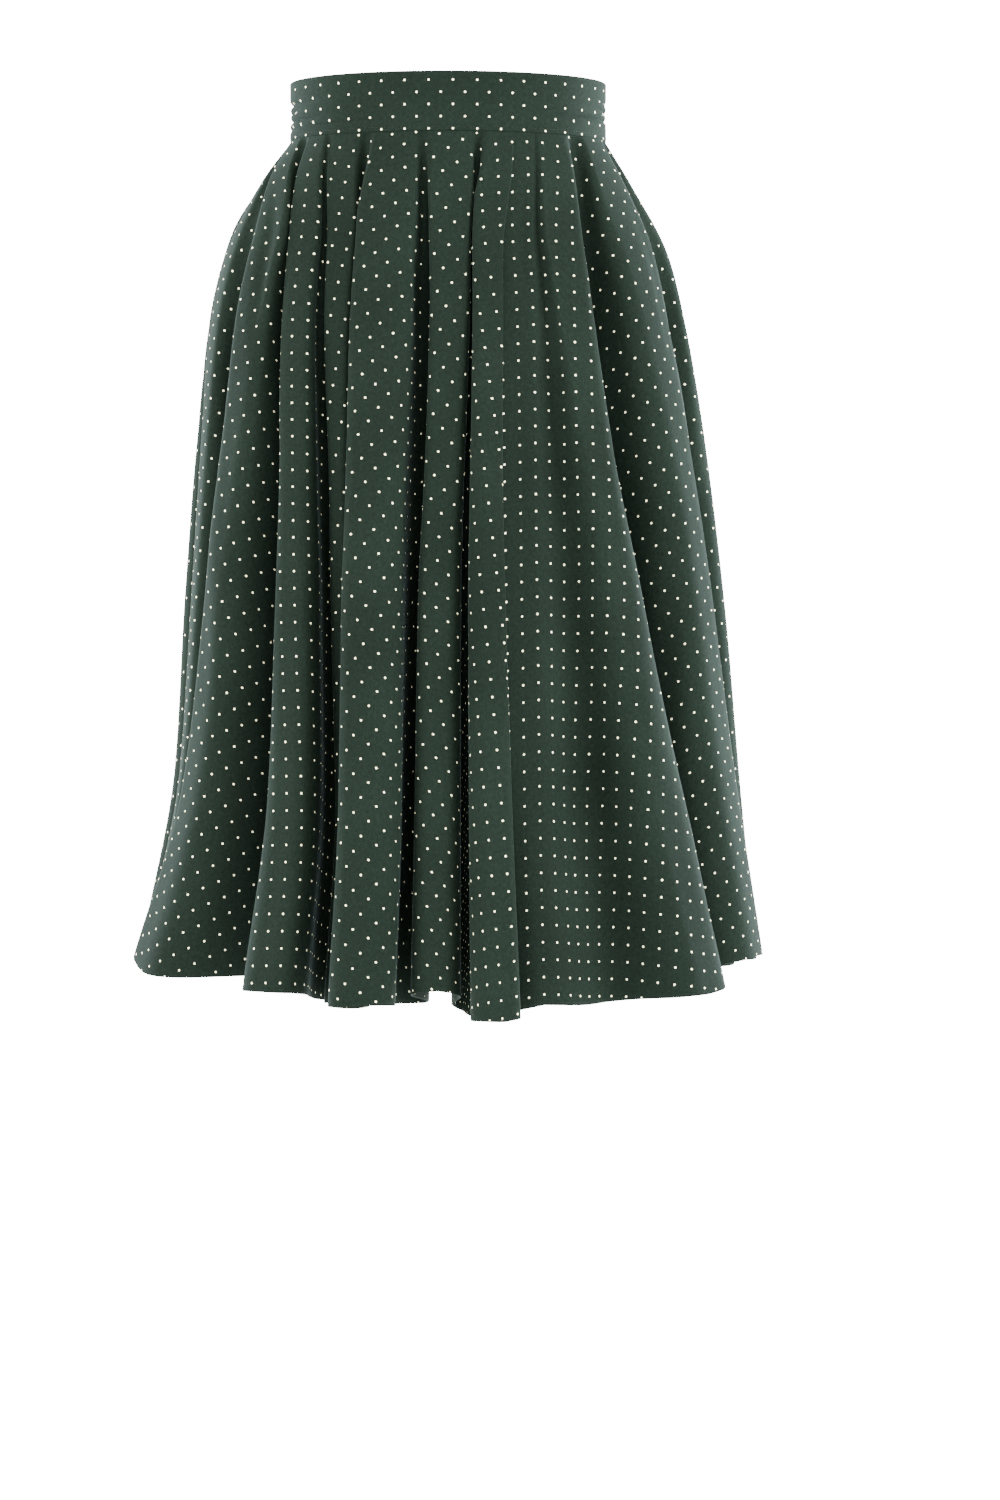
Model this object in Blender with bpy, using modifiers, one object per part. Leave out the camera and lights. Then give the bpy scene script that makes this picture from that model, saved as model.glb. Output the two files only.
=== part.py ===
"""Circle skirt, worn: a full circle of cloth in deep flutes, hung from a straight waistband.

Metres, +Z up, +X is the wearer's left, -Y is the front. The origin is the middle of the
waistband, where the wearer holds the skirt up.

The cloth is worked out the way it is cut. A place on it is named by its flat angle round the
circle (0 at centre front) and its distance down from the waist seam. Each ring of the circle
is longer than the body's girth there, so it runs in and out: the wall follows a sine-generated
curve, the bend that a strip takes when it is pushed together endways.
"""
import math
from typing import NamedTuple

import bmesh
import bpy
import numpy as np
from mathutils import Matrix, Vector

MODEL = "circle_skirt"

# Waistband
BAND_HEIGHT = 0.045
BAND_WALL = 0.0020
BAND_COLUMNS = 72
WAIST_HALF_WIDTH = 0.1245
WAIST_HALF_DEPTH = 0.0950
BAND_SLIT = 0.0016
SEAM_Z = -BAND_HEIGHT / 2

# Skirt cloth
CLOTH_LENGTH = 0.676
CLOTH_WALL = 0.0012
SEAM_GAP = 0.0003
WAIST_SEAM_GAP = 0.0008
CENTRE_FRONT_TURN = math.radians(-11.3)
TIGHTEST_ADVANCE = 0.24
CLOSEST_SIDES = 0.21
MOST_SQUEEZE = 1.9
LEAN_GROWS_OVER = 0.30
STEEPEST_FALL = 0.15
HALVINGS = 24
SHALLOW = 1e-6
ROW_STATIONS = (0.0, 0.016, 0.042, 0.075, 0.115, 0.165, 0.225, 0.290,
                0.360, 0.430, 0.500, 0.565, 0.625, CLOTH_LENGTH)
# Columns stand at these phases between a crest (0) and a valley (180 degrees), closer
# together where the wall turns most, and at a strip along each seam that keeps it straight.
COLUMN_PHASES = (0.0, 16.6, 34.8, 59.0, 121.0, 145.2, 163.4)
SEAM_STRIP = math.radians(0.18)
SEAM_CLEAR = math.radians(1.2)

# Centre back zip
TAPE_WIDTH = 0.022
TAPE_WALL = 0.0008
TAPE_COLUMNS = 7
TAPE_DEPTH = 0.0022
TAPE_END = 0.170
HINGE_Z = 0.0165
HINGE_OUT = 0.0026
SLIDER_SIZE = (0.0060, 0.0026, 0.0085)
SLIDER_OUT = -0.0030
TAPE_TO_SLIDER = 0.0004
LUG_HALF_WIDTH = 0.0004
LUG_RADIUS = 0.0019
LUG_HOLE_RADIUS = 0.0011
TAB_LENGTH = 0.0220
TAB_HALF_WIDTH = 0.0025
TAB_TIP_HALF_WIDTH = 0.0019
TAB_THICKNESS = 0.0010
TAB_BAR = 0.0010
TAB_WINDOW_HALF_WIDTH = 0.0015
TAB_WINDOW_END = 0.0045

CLOTH_COLOUR = (0.022, 0.048, 0.038, 1.0)
BAND_COLOUR = (0.024, 0.051, 0.041, 1.0)
TAPE_COLOUR = (0.012, 0.026, 0.021, 1.0)
METAL_COLOUR = (0.045, 0.070, 0.060, 1.0)


class Girth(NamedTuple):
    """How far the outermost folds reach from the axis, at a distance down the cloth."""
    down: float
    to_right: float
    to_left: float
    front: float
    back: float


GIRTHS = (
    Girth(0.000, WAIST_HALF_WIDTH, WAIST_HALF_WIDTH, WAIST_HALF_DEPTH, WAIST_HALF_DEPTH),
    Girth(0.042, 0.1490, 0.1465, 0.104, 0.111),
    Girth(0.108, 0.1785, 0.1770, 0.120, 0.134),
    Girth(0.165, 0.1920, 0.1905, 0.130, 0.148),
    Girth(0.256, 0.2020, 0.2065, 0.151, 0.166),
    Girth(0.385, 0.2130, 0.2235, 0.175, 0.188),
    Girth(0.525, 0.2240, 0.2385, 0.200, 0.211),
    Girth(CLOTH_LENGTH, 0.2575, 0.2590, 0.228, 0.236),
)


class Fold(NamedTuple):
    """One outward fold. Angles are in degrees, from centre front towards the wearer's left.

    flat_*: the place in the cut circle that makes the fold's crest, at the hips and the hem
    seat_*: where round the wearer the crest hangs, at the hips, half way and the hem
    setback: how far the crest stands back from the girth, as a share of the folds' depth
    shift_*: how far the valley after it moves on, as a share of the space between the crests
    drop: how much lower than its cut length the cloth hangs here at the hem, in metres
    """
    flat_hip: float
    flat_hem: float
    seat_hip: float
    seat_mid: float
    seat_hem: float
    setback: float
    shift_mid: float
    shift_hem: float
    drop: float


# The share of the wall that lies flat between the folds, at distances down the cloth
PLATEAUS = ((0.0, 0.60), (0.06, 0.48), (0.14, 0.28), (0.30, 0.11), (CLOTH_LENGTH, 0.08))
HIP_DOWN = 0.10
MID_DOWN = 0.38
FOLDS = (
    Fold(-163.0, -160.0, -168.0, -170.0, -173.0, 0.40, 0.00, 0.00, 0.005),
    Fold(-147.0, -145.0, -151.0, -151.0, -152.0, 0.00, -0.15, -0.15, 0.010),
    Fold(-129.0, -128.0, -132.0, -130.0, -130.0, 0.15, -0.10, -0.10, 0.000),
    Fold(-106.0, -109.0, -106.0, -95.0, -104.0, 0.05, 0.00, 0.00, 0.000),
    Fold(-80.0, -86.5, -79.0, -77.0, -85.0, 0.12, 0.00, 0.00, 0.000),
    Fold(-64.0, -73.0, -55.0, -60.0, -72.0, 0.00, 0.32, 0.32, 0.000),
    Fold(-45.0, -47.0, -41.0, -36.0, -34.0, 0.12, 0.15, 0.15, -0.002),
    Fold(-33.0, -31.0, -31.0, -27.0, -24.5, 0.60, 0.10, 0.10, 0.000),
    Fold(-9.0, -14.0, -17.0, -18.5, -17.0, 0.00, 0.30, 0.07, 0.005),
    Fold(14.0, 3.0, 1.0, -2.0, -2.0, 0.28, 0.05, 0.00, -0.001),
    Fold(36.0, 38.5, 12.0, 9.8, 9.5, 0.00, -0.55, -0.25, 0.015),
    Fold(44.0, 45.0, 20.5, 18.0, 18.5, 0.42, 0.00, 0.00, 0.000),
    Fold(52.8, 57.0, 29.5, 37.0, 50.5, 0.00, -0.35, -0.35, 0.004),
    Fold(84.0, 88.0, 62.0, 67.0, 74.0, 0.05, -0.10, -0.10, -0.016),
    Fold(101.0, 105.5, 88.5, 93.0, 104.0, 0.05, 0.00, 0.00, 0.000),
    Fold(122.0, 122.0, 111.0, 114.0, 117.0, 0.00, 0.00, 0.00, 0.010),
    Fold(139.0, 136.0, 128.0, 129.0, 128.0, 0.45, 0.15, 0.15, 0.005),
    Fold(155.0, 158.0, 147.0, 148.0, 148.0, 0.00, 0.20, 0.20, 0.000),
    Fold(178.0, 180.0, 172.0, 172.0, 170.0, 0.05, 0.10, 0.10, 0.000),
)


# ---------------------------------------------------------------------------------------
# Curves and the sine-generated section


def through(x, stations, values):
    """A smooth curve through a few stations that never overshoots them."""
    stations = np.asarray(stations, float)
    values = np.asarray(values, float)
    step = np.diff(stations)
    rise = np.diff(values) / step
    slope = np.empty_like(values)
    slope[0] = rise[0]
    slope[-1] = rise[-1]
    product = rise[:-1] * rise[1:]
    total = rise[:-1] + rise[1:]
    same_way = product > 0
    slope[1:-1] = np.where(same_way, 2 * product / np.where(same_way, total, 1.0), 0.0)
    i = np.clip(np.searchsorted(stations, x) - 1, 0, len(step) - 1)
    t = np.clip((x - stations[i]) / step[i], 0.0, 1.0)
    start = (1 + 2 * t) * (1 - t) ** 2 * values[i] + t * (1 - t) ** 2 * step[i] * slope[i]
    end = t * t * (3 - 2 * t) * values[i + 1] + t * t * (t - 1) * step[i] * slope[i + 1]
    return start + end


QUADRATURE = (np.arange(32) + 0.5) * math.pi / 32


def bessel(order, swing):
    """The Bessel function J of an order, as the mean of cos(order t - swing sin t)."""
    swing = np.asarray(swing, float)[..., None]
    return np.cos(order * QUADRATURE - swing * np.sin(QUADRATURE)).mean(-1)


def depth_share(swing):
    """Depth of a half wave over its length: the mean of sin(swing sin t)."""
    swing = np.asarray(swing, float)[..., None]
    return np.sin(swing * np.sin(QUADRATURE)).mean(-1)


SWINGS = np.linspace(0.0, 2.9, 291)
ADVANCES = bessel(0, SWINGS)


def swing_for(advance_share):
    """The swing of direction at which a strip's ends come this close, over its length."""
    return np.interp(-advance_share, -ADVANCES, SWINGS)


# ---------------------------------------------------------------------------------------
# The girth round the folds


def girth_point(seat, down):
    """The place on the girth at a seat angle, as x and y."""
    rows = np.array(GIRTHS)
    reach = [through(down, rows[:, 0], rows[:, column]) for column in range(1, 5)]
    side = 0.5 + 0.5 * np.tanh(3 * np.sin(seat))
    end = 0.5 + 0.5 * np.tanh(3 * np.cos(seat))
    half_width = reach[0] * (1 - side) + reach[1] * side
    half_depth = reach[3] * (1 - end) + reach[2] * end
    return half_width * np.sin(seat), -half_depth * np.cos(seat)


def girth_normal(seat, down, step=0.001):
    """The outward normal of the girth at a seat angle."""
    x0, y0 = girth_point(seat - step, down)
    x1, y1 = girth_point(seat + step, down)
    length = np.hypot(x1 - x0, y1 - y0)
    return (y1 - y0) / length, -(x1 - x0) / length


SEATS = np.linspace(-1.6 * math.pi, 1.6 * math.pi, 1601)


def girth_lengths(down):
    """Length along the girth up to each angle in SEATS."""
    x, y = girth_point(SEATS, np.full_like(SEATS, down))
    return np.concatenate([[0.0], np.cumsum(np.hypot(np.diff(x), np.diff(y)))])


WAIST_LENGTHS = girth_lengths(0.0)
WAIST_GIRTH = float(np.interp(math.pi, SEATS, WAIST_LENGTHS)
                    - np.interp(-math.pi, SEATS, WAIST_LENGTHS))
WAIST_RADIUS = WAIST_GIRTH / (2 * math.pi)


def waist_seat(flat):
    """Where round the waist a flat angle is sewn on: the same length along both seams."""
    centre_front = np.interp(CENTRE_FRONT_TURN, SEATS, WAIST_LENGTHS)
    return np.interp(centre_front + flat * WAIST_RADIUS, WAIST_LENGTHS, SEATS)


# ---------------------------------------------------------------------------------------
# The drape


def wrap(column):
    """A row per fold, with the last fold repeated before the first and the first after."""
    return np.concatenate([column[-1:], column, column[:1]])


def fold_row(down):
    """Crests at one distance down the cloth: flat angle and seat angle, once round and on."""
    table = np.array(FOLDS)
    share = through(down, (0.0, HIP_DOWN, CLOTH_LENGTH), (0.0, 0.0, 1.0))
    flat = np.radians(table[:, 0] * (1 - share) + table[:, 1] * share)
    stations = (0.0, HIP_DOWN, MID_DOWN, CLOTH_LENGTH)
    seat = np.empty_like(flat)
    for row, fold in enumerate(FOLDS):
        at_waist = waist_seat(math.radians(fold.flat_hip))
        lower = np.radians((fold.seat_hip, fold.seat_mid, fold.seat_hem))
        seat[row] = through(down, stations, np.concatenate([[at_waist], lower]))
    turn = np.zeros(len(FOLDS) + 2)
    turn[0] = -2 * math.pi
    turn[-1] = 2 * math.pi
    return wrap(flat) + turn, wrap(seat) + turn


class Ring(NamedTuple):
    """The folds at one distance down the cloth: a value per crest, or per space after it."""
    crest_flat: np.ndarray
    crest_at: np.ndarray
    lengths: np.ndarray
    cloth: np.ndarray
    squeeze: np.ndarray
    plateau: float
    level: np.ndarray
    bottom: np.ndarray
    reach: np.ndarray
    fall: np.ndarray
    swing: np.ndarray
    short: np.ndarray


def fold_side(length, room, plateau):
    """One side of a fold: how far its wall swings, how deep it goes, and what it falls short.

    The wall has this length, and room along the girth from the crest to the valley. The room
    is less than nothing where the valley is tucked back under the crest. Where there is too
    much room, the wall is taut, and what it falls short is spread over it as a little stretch.
    """
    swing = swing_for((room / length - plateau) / (1 - plateau))
    depth = length * (1 - plateau) * depth_share(swing)
    short = room - length * (plateau + (1 - plateau) * bessel(0, swing))
    return swing, depth, short


def fold_ring(down):
    """Work out the folds of one ring from its cut length and the room along the girth.

    cloth is the wall's length between two crests, squeeze how much longer the cut cloth is,
    plateau the share of the wall that lies flat at the crests, level and bottom how far each
    crest and valley stands back, and reach how far along the girth the valley lies from the
    crest before it. fall is the share of the wall on the way in, found by halving: both sides,
    with the lengths they have, come to the same bottom. swing and short have a row for the
    way in and a row for the way out.
    """
    crest_flat, crest_seat = fold_row(down)
    lengths = girth_lengths(down)
    crest_at = np.interp(crest_seat, SEATS, lengths)
    advance = np.diff(crest_at)
    cut = np.diff(crest_flat) * (WAIST_RADIUS + down)
    plateau = float(through(down, *zip(*PLATEAUS)))
    tightest = max(TIGHTEST_ADVANCE, plateau + (1 - plateau) * CLOSEST_SIDES)
    cloth = np.minimum(cut, advance / tightest)
    squeeze = np.minimum(cut / cloth, MOST_SQUEEZE)
    even_depth = fold_side(cloth / 2, advance / 2, plateau)[1]
    level = wrap(np.array([fold.setback for fold in FOLDS])) * even_depth[1:].mean()
    lean = [through(down, (0.0, LEAN_GROWS_OVER, CLOTH_LENGTH),
                    (0.0, fold.shift_mid, fold.shift_hem)) for fold in FOLDS]
    reach = advance * (0.5 + wrap(np.array(lean))[:-1])
    low = reach / np.maximum(cloth, advance)
    high = 1 - (advance - reach) / np.maximum(cloth, advance)
    for _ in range(HALVINGS):
        fall = (low + high) / 2
        before = level[:-1] + fold_side(cloth * fall, reach, plateau)[1]
        after = level[1:] + fold_side(cloth * (1 - fall), advance - reach, plateau)[1]
        low = np.where(before < after, fall, low)
        high = np.where(before < after, high, fall)
    way_in = fold_side(cloth * fall, reach, plateau)
    way_out = fold_side(cloth * (1 - fall), advance - reach, plateau)
    bottom = (level[:-1] + way_in[1] + level[1:] + way_out[1]) / 2
    swing = np.stack([way_in[0], way_out[0]])
    short = np.stack([way_in[2], way_out[2]])
    return Ring(crest_flat, crest_at, lengths, cloth, squeeze, plateau, level, bottom, reach,
                fall, swing, short)


def drape_ring(flat, down):
    """Plan places of the wall at one distance down the cloth, for an array of flat angles.

    The wall lies flat for its plateau at each crest. Between them its direction swings in and
    out by one angle, so that its length is the cloth's and its advance is the space that the
    girth gives it. The closed form is the Bessel series of the integrals of cos and sin of
    that direction. Cloth that is too long for the wall is squeezed into the valleys.
    """
    flat = (flat + math.pi) % (2 * math.pi) - math.pi
    (crest_flat, crest_at, lengths, cloth, squeeze, plateau, level, bottom, reach, fall,
     swing, short) = fold_ring(down)
    i = np.clip(np.searchsorted(crest_flat, flat, side="right") - 1, 0, len(cloth) - 1)
    share = (flat - crest_flat[i]) / (crest_flat[i + 1] - crest_flat[i])
    inward = share < fall[i]
    side = np.where(inward, 0, 1)
    part = np.where(inward, fall[i], 1 - fall[i])
    from_crest = np.where(inward, share, 1 - share) / part
    wall = from_crest + (squeeze[i] - 1) * from_crest * (1 - from_crest)
    dip = np.clip((wall - plateau) / (1 - plateau), 0.0, 1.0)
    phase = math.pi * np.where(inward, dip, 1 - dip)
    half = cloth[i] * part * (1 - plateau) / math.pi
    swing = swing[side, i]
    j = [bessel(order, swing) for order in range(6)]
    along = half * (j[0] * phase + j[2] * np.sin(2 * phase) + j[4] / 2 * np.sin(4 * phase))
    sunk = 2 * half * (j[1] * (1 - np.cos(phase)) + j[3] / 3 * (1 - np.cos(3 * phase))
                       + j[5] / 5 * (1 - np.cos(5 * phase)))
    on_plateau = np.minimum(wall, plateau)
    flat_part = cloth[i] * part * np.where(inward, on_plateau, plateau - on_plateau)
    stretched = short[side, i] * np.where(inward, wall, 1 - wall)
    along = np.where(inward, 0.0, reach[i]) + along + flat_part + stretched

    depth = half * math.pi * depth_share(swing)
    sunk_share = (sunk + SHALLOW * (1 - np.cos(phase)) / 2) / (depth + SHALLOW)
    sunk_share = np.where(inward, sunk_share, 1 - sunk_share)
    crest = np.where(inward, level[i], level[i + 1])
    inset = crest + (bottom[i] - crest) * sunk_share

    seat = np.interp(crest_at[i] + along, lengths, SEATS)
    downs = np.full_like(seat, down)
    x, y = girth_point(seat, downs)
    normal_x, normal_y = girth_normal(seat, downs)
    return np.stack([x - normal_x * inset, y - normal_y * inset], axis=-1)


FINE_FLATS = np.linspace(-math.pi, math.pi, 1441)
FINE_DOWNS = np.linspace(0.0, CLOTH_LENGTH, 105)


def falls():
    """How far below the seam the cloth hangs, over a fine grid of distances and flat angles.

    Each line down the cloth keeps its cut length, and a little more where the fold has
    dropped, so what it spends on going outwards it loses in height.
    """
    plan = np.array([drape_ring(FINE_FLATS, down) for down in FINE_DOWNS])
    step = np.diff(FINE_DOWNS)[:, None]
    outwards = np.linalg.norm(np.diff(plan, axis=0), axis=-1) / step
    crest_flat = fold_row(CLOTH_LENGTH)[0]
    drops = wrap(np.array([fold.drop for fold in FOLDS]))
    drawn = 1 + np.interp(FINE_FLATS, crest_flat, drops) / CLOTH_LENGTH
    fall = np.sqrt(np.maximum(drawn ** 2 - outwards ** 2, STEEPEST_FALL ** 2)) * step
    return np.vstack([np.zeros_like(FINE_FLATS), np.cumsum(fall, axis=0)])


FALLS = falls()


def drape(flats, downs):
    """The draped cloth as an array of rows by columns by xyz, from a row of flat angles each."""
    rows = []
    for flat, down in zip(flats, downs):
        i = min(int(np.searchsorted(FINE_DOWNS, down, side="right")) - 1, len(FINE_DOWNS) - 2)
        share = (down - FINE_DOWNS[i]) / (FINE_DOWNS[i + 1] - FINE_DOWNS[i])
        turned = (flat + math.pi) % (2 * math.pi) - math.pi
        fall = np.interp(turned, FINE_FLATS, FALLS[i] * (1 - share) + FALLS[i + 1] * share)
        height = SEAM_Z - WAIST_SEAM_GAP - fall
        rows.append(np.column_stack([drape_ring(flat, down), height]))
    return np.array(rows)


def waist_line(flat, z):
    """Places on the middle of the band's wall, for an array of flat angles at one height."""
    seat = waist_seat(np.asarray(flat, float))
    x, y = girth_point(seat, np.zeros_like(seat))
    return np.stack([x, y, np.full_like(x, z)], axis=-1)


# ---------------------------------------------------------------------------------------
# Blender pieces


def clear_scene():
    for item in list(bpy.data.objects):
        bpy.data.objects.remove(item, do_unlink=True)
    for group in list(bpy.data.collections):
        bpy.data.collections.remove(group)


def new_collection(name):
    group = bpy.data.collections.new(name)
    bpy.context.scene.collection.children.link(group)
    return group


def new_material(name, colour, roughness, metallic=0.0):
    material = bpy.data.materials.new(name)
    material.use_nodes = True
    shader = material.node_tree.nodes["Principled BSDF"]
    shader.inputs["Base Color"].default_value = colour
    shader.inputs["Roughness"].default_value = roughness
    shader.inputs["Metallic"].default_value = metallic
    return material


def add_object(group, name, mesh, material):
    item = bpy.data.objects.new(name, mesh)
    item.data.materials.append(material)
    group.objects.link(item)
    return item


def cloth_sheet(group, name, points, wall, material):
    """An open grid through the points, thickened to a wall on both sides of them."""
    rows, columns = points.shape[:2]
    index = np.arange(rows * columns).reshape(rows, columns)
    corners = [index[:-1, :-1], index[1:, :-1], index[1:, 1:], index[:-1, 1:]]
    quads = np.stack([corner.ravel() for corner in corners], axis=1)
    mesh = bpy.data.meshes.new(name)
    mesh.from_pydata(points.reshape(-1, 3).tolist(), [], quads.tolist())
    mesh.shade_smooth()
    item = add_object(group, name, mesh, material)
    solidify = item.modifiers.new("wall", "SOLIDIFY")
    solidify.thickness = wall
    solidify.offset = 0.0
    return item


def turning_points(down):
    """Flat angles of the crests and valleys at one distance down, over more than one turn."""
    ring = fold_ring(down)
    valleys = ring.crest_flat[:-1] + np.diff(ring.crest_flat) * ring.fall
    once = np.column_stack([ring.crest_flat[:-1], valleys])[1:].ravel()
    return np.concatenate([once - 2 * math.pi, once, once + 2 * math.pi])


def panel_columns(start, end):
    """Flat angles of a panel's columns, a row for each station down the cloth.

    Columns follow the crests and valleys down the cloth, and stand closer together there.
    Towards a seam, which cuts across the folds, they are spaced evenly.
    """
    turns = np.array([turning_points(down) for down in ROW_STATIONS])
    inside = (turns > start + SEAM_CLEAR) & (turns < end - SEAM_CLEAR)
    turns = turns[:, inside.all(axis=0)]
    shares = np.radians(COLUMN_PHASES) / math.pi
    usual = 2 * math.pi / len(FOLDS) / 2
    seam_steps = [max(3, round(abs(side - turn) / usual * len(shares)))
                  for side, turn in ((start, turns[-1, 0]), (end, turns[-1, -1]))]
    rows = []
    for turn in turns:
        first = start + (turn[0] - start) * np.arange(1, seam_steps[0]) / seam_steps[0]
        last = turn[-1] + (end - turn[-1]) * np.arange(seam_steps[1]) / seam_steps[1]
        inner = [a + (b - a) * shares for a, b in zip(turn[:-1], turn[1:])]
        edges = ([start, start + SEAM_STRIP], [end - SEAM_STRIP, end])
        rows.append(np.concatenate([edges[0], first, *inner, last, edges[1]]))
    return np.array(rows)


def build_panel(group, name, start, end, material):
    """A panel of the circle between two flat angles, half a seam gap short at both."""
    points = drape(panel_columns(start, end), ROW_STATIONS)
    for column, towards in ((0, 1), (-1, -2)):
        edge = points[:, column]
        across = points[:, towards] - edge
        across = across / np.linalg.norm(across, axis=1)[:, None]
        points[:, column] = edge + across * SEAM_GAP / 2
    return cloth_sheet(group, name, points, CLOTH_WALL, material)


def build_waistband(group, material):
    """One straight strip round the waist, open at centre back for the zip."""
    half_slit = BAND_SLIT / 2 / WAIST_RADIUS
    flat = np.linspace(-math.pi + half_slit, math.pi - half_slit, BAND_COLUMNS + 1)
    heights = (BAND_HEIGHT / 2, 0.0, -BAND_HEIGHT / 2)
    points = np.array([waist_line(flat, z) for z in heights])
    return cloth_sheet(group, "waistband", points, BAND_WALL, material)


def build_zip_tape(group, material):
    """The zip's tapes, closed: a strip inside the centre back seam, laid along the wall."""
    across = np.linspace(-TAPE_WIDTH / 2, TAPE_WIDTH / 2, TAPE_COLUMNS)
    tape_top = HINGE_Z - SLIDER_SIZE[2] / 2 - TAPE_TO_SLIDER
    rows = [waist_line(math.pi + across / WAIST_RADIUS, z) for z in (tape_top, 0.0, SEAM_Z)]
    downs = np.array([down for down in ROW_STATIONS if 0.0 < down < TAPE_END] + [TAPE_END])
    flats = math.pi + across / (WAIST_RADIUS + downs[:, None])
    rows.extend(drape(flats, downs))
    points = np.array(rows)
    along = np.gradient(points, axis=0)
    sideways = np.gradient(points, axis=1)
    inward = np.cross(sideways, along)
    inward = inward / np.linalg.norm(inward, axis=-1, keepdims=True)
    return cloth_sheet(group, "zip_tape", points + inward * TAPE_DEPTH, TAPE_WALL, material)


def centre_back_frame():
    """Axes at the zip: x along the band, y outwards, z up, with the hinge at the origin."""
    seat = waist_seat(math.pi)
    x, y = girth_point(seat, 0.0)
    normal_x, normal_y = girth_normal(seat, 0.0)
    out = Vector((float(normal_x), float(normal_y), 0.0))
    along = Vector((out.y, -out.x, 0.0))
    hinge = Vector((float(x), float(y), HINGE_Z)) + out * HINGE_OUT
    axes = Matrix((along, out, Vector((0.0, 0.0, 1.0)))).transposed()
    return Matrix.Translation(hinge) @ axes.to_4x4()


def arc_points(radius, start, end, count, centre=(0.0, 0.0)):
    angles = np.radians(np.linspace(start, end, count))
    return [(centre[0] + radius * math.cos(a), centre[1] + radius * math.sin(a)) for a in angles]


def flat_plate(name, outlines, thickness, turn):
    """A filled flat outline, with any holes in it, extruded and turned, as a closed mesh."""
    curve = bpy.data.curves.new(name, "CURVE")
    curve.dimensions = "2D"
    curve.fill_mode = "BOTH"
    curve.extrude = thickness / 2
    for outline in outlines:
        spline = curve.splines.new("POLY")
        spline.points.add(len(outline) - 1)
        for point, (x, y) in zip(spline.points, outline):
            point.co = (x, y, 0.0, 1.0)
        spline.use_cyclic_u = True
    item = bpy.data.objects.new(name, curve)
    bpy.context.scene.collection.objects.link(item)
    depsgraph = bpy.context.evaluated_depsgraph_get()
    mesh = bpy.data.meshes.new_from_object(item.evaluated_get(depsgraph))
    bpy.data.objects.remove(item, do_unlink=True)
    work = bmesh.new()
    work.from_mesh(mesh)
    bmesh.ops.remove_doubles(work, verts=work.verts, dist=1e-6)
    bmesh.ops.recalc_face_normals(work, faces=work.faces)
    work.to_mesh(mesh)
    work.free()
    mesh.transform(turn)
    return mesh


def build_slider(group, cutters, frame, material):
    """The slider's body behind the band, with a lug that comes out through the slit."""
    body_mesh = bpy.data.meshes.new("zip_slider")
    work = bmesh.new()
    bmesh.ops.create_cube(work, size=1.0)
    bmesh.ops.scale(work, vec=SLIDER_SIZE, verts=work.verts)
    bmesh.ops.translate(work, vec=(0.0, SLIDER_OUT - HINGE_OUT, 0.0), verts=work.verts)
    work.to_mesh(body_mesh)
    work.free()
    slider = add_object(group, "zip_slider", body_mesh, material)
    slider.matrix_world = frame
    bevel = slider.modifiers.new("soft edges", "BEVEL")
    bevel.width = 0.0005
    bevel.segments = 2

    # The lug's outline lies in x and y, and is turned to stand across the slit.
    root = SLIDER_OUT - HINGE_OUT
    outline = [(root, -LUG_RADIUS)] + arc_points(LUG_RADIUS, -90, 90, 9) + [(root, LUG_RADIUS)]
    hole = arc_points(LUG_HOLE_RADIUS, 0, 330, 12)
    stand = Matrix.Rotation(math.pi / 2, 4, "Z") @ Matrix.Rotation(math.pi / 2, 4, "X")
    lug_mesh = flat_plate("zip_lug", (outline, hole), 2 * LUG_HALF_WIDTH, stand)
    lug = add_object(cutters, "zip_lug", lug_mesh, material)
    lug.matrix_world = frame
    lug.hide_render = True
    lug.display_type = "WIRE"
    union = slider.modifiers.new("lug", "BOOLEAN")
    union.operation = "UNION"
    union.object = lug
    return slider


def build_pull_tab(group, frame, material):
    """The pull tab, hanging from the lug on the bar above its window."""
    half_bar = TAB_BAR / 2
    tip = arc_points(TAB_TIP_HALF_WIDTH, 0, -180, 9, (0.0, TAB_TIP_HALF_WIDTH - TAB_LENGTH))
    outline = [(-TAB_HALF_WIDTH, half_bar), (TAB_HALF_WIDTH, half_bar)] + tip
    window = [(-TAB_WINDOW_HALF_WIDTH, -half_bar), (TAB_WINDOW_HALF_WIDTH, -half_bar),
              (TAB_WINDOW_HALF_WIDTH, -TAB_WINDOW_END), (-TAB_WINDOW_HALF_WIDTH, -TAB_WINDOW_END)]
    hang = Matrix.Rotation(math.pi / 2, 4, "X")
    mesh = flat_plate("zip_pull_tab", (outline, window), TAB_THICKNESS, hang)
    tab = add_object(group, "zip_pull_tab", mesh, material)
    tab.matrix_world = frame
    return tab


def main():
    clear_scene()
    group = new_collection(MODEL)
    cutters = new_collection(MODEL + "_cutters")
    cloth = new_material("skirt cloth", CLOTH_COLOUR, 0.85)
    band_cloth = new_material("waistband cloth", BAND_COLOUR, 0.85)
    tape = new_material("zip tape", TAPE_COLOUR, 0.80)
    metal = new_material("painted metal", METAL_COLOUR, 0.40, 0.6)

    quarter = math.pi / 2
    build_waistband(group, band_cloth)
    build_panel(group, "skirt_front", -quarter, quarter, cloth)
    build_panel(group, "skirt_back_left", quarter, math.pi, cloth)
    build_panel(group, "skirt_back_right", -math.pi, -quarter, cloth)
    build_zip_tape(group, tape)
    frame = centre_back_frame()
    build_slider(group, cutters, frame, metal)
    build_pull_tab(group, frame, metal)
    print("hinge", [round(value, 6) for value in frame.translation])
    print("hinge axis", [round(value, 6) for value in frame.col[0][:3]])


main()
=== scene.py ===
# %% [markdown]
# # Circle skirt, worn
#
# A full circle of brushed dark green cloth with small cream dots, hung in deep flutes from a
# straight waistband. Everything is in metres, +Z up, +X the wearer's left, -Y the front, with
# the origin in the middle of the waistband.

# %% Load the frame
import math
from typing import NamedTuple

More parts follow.
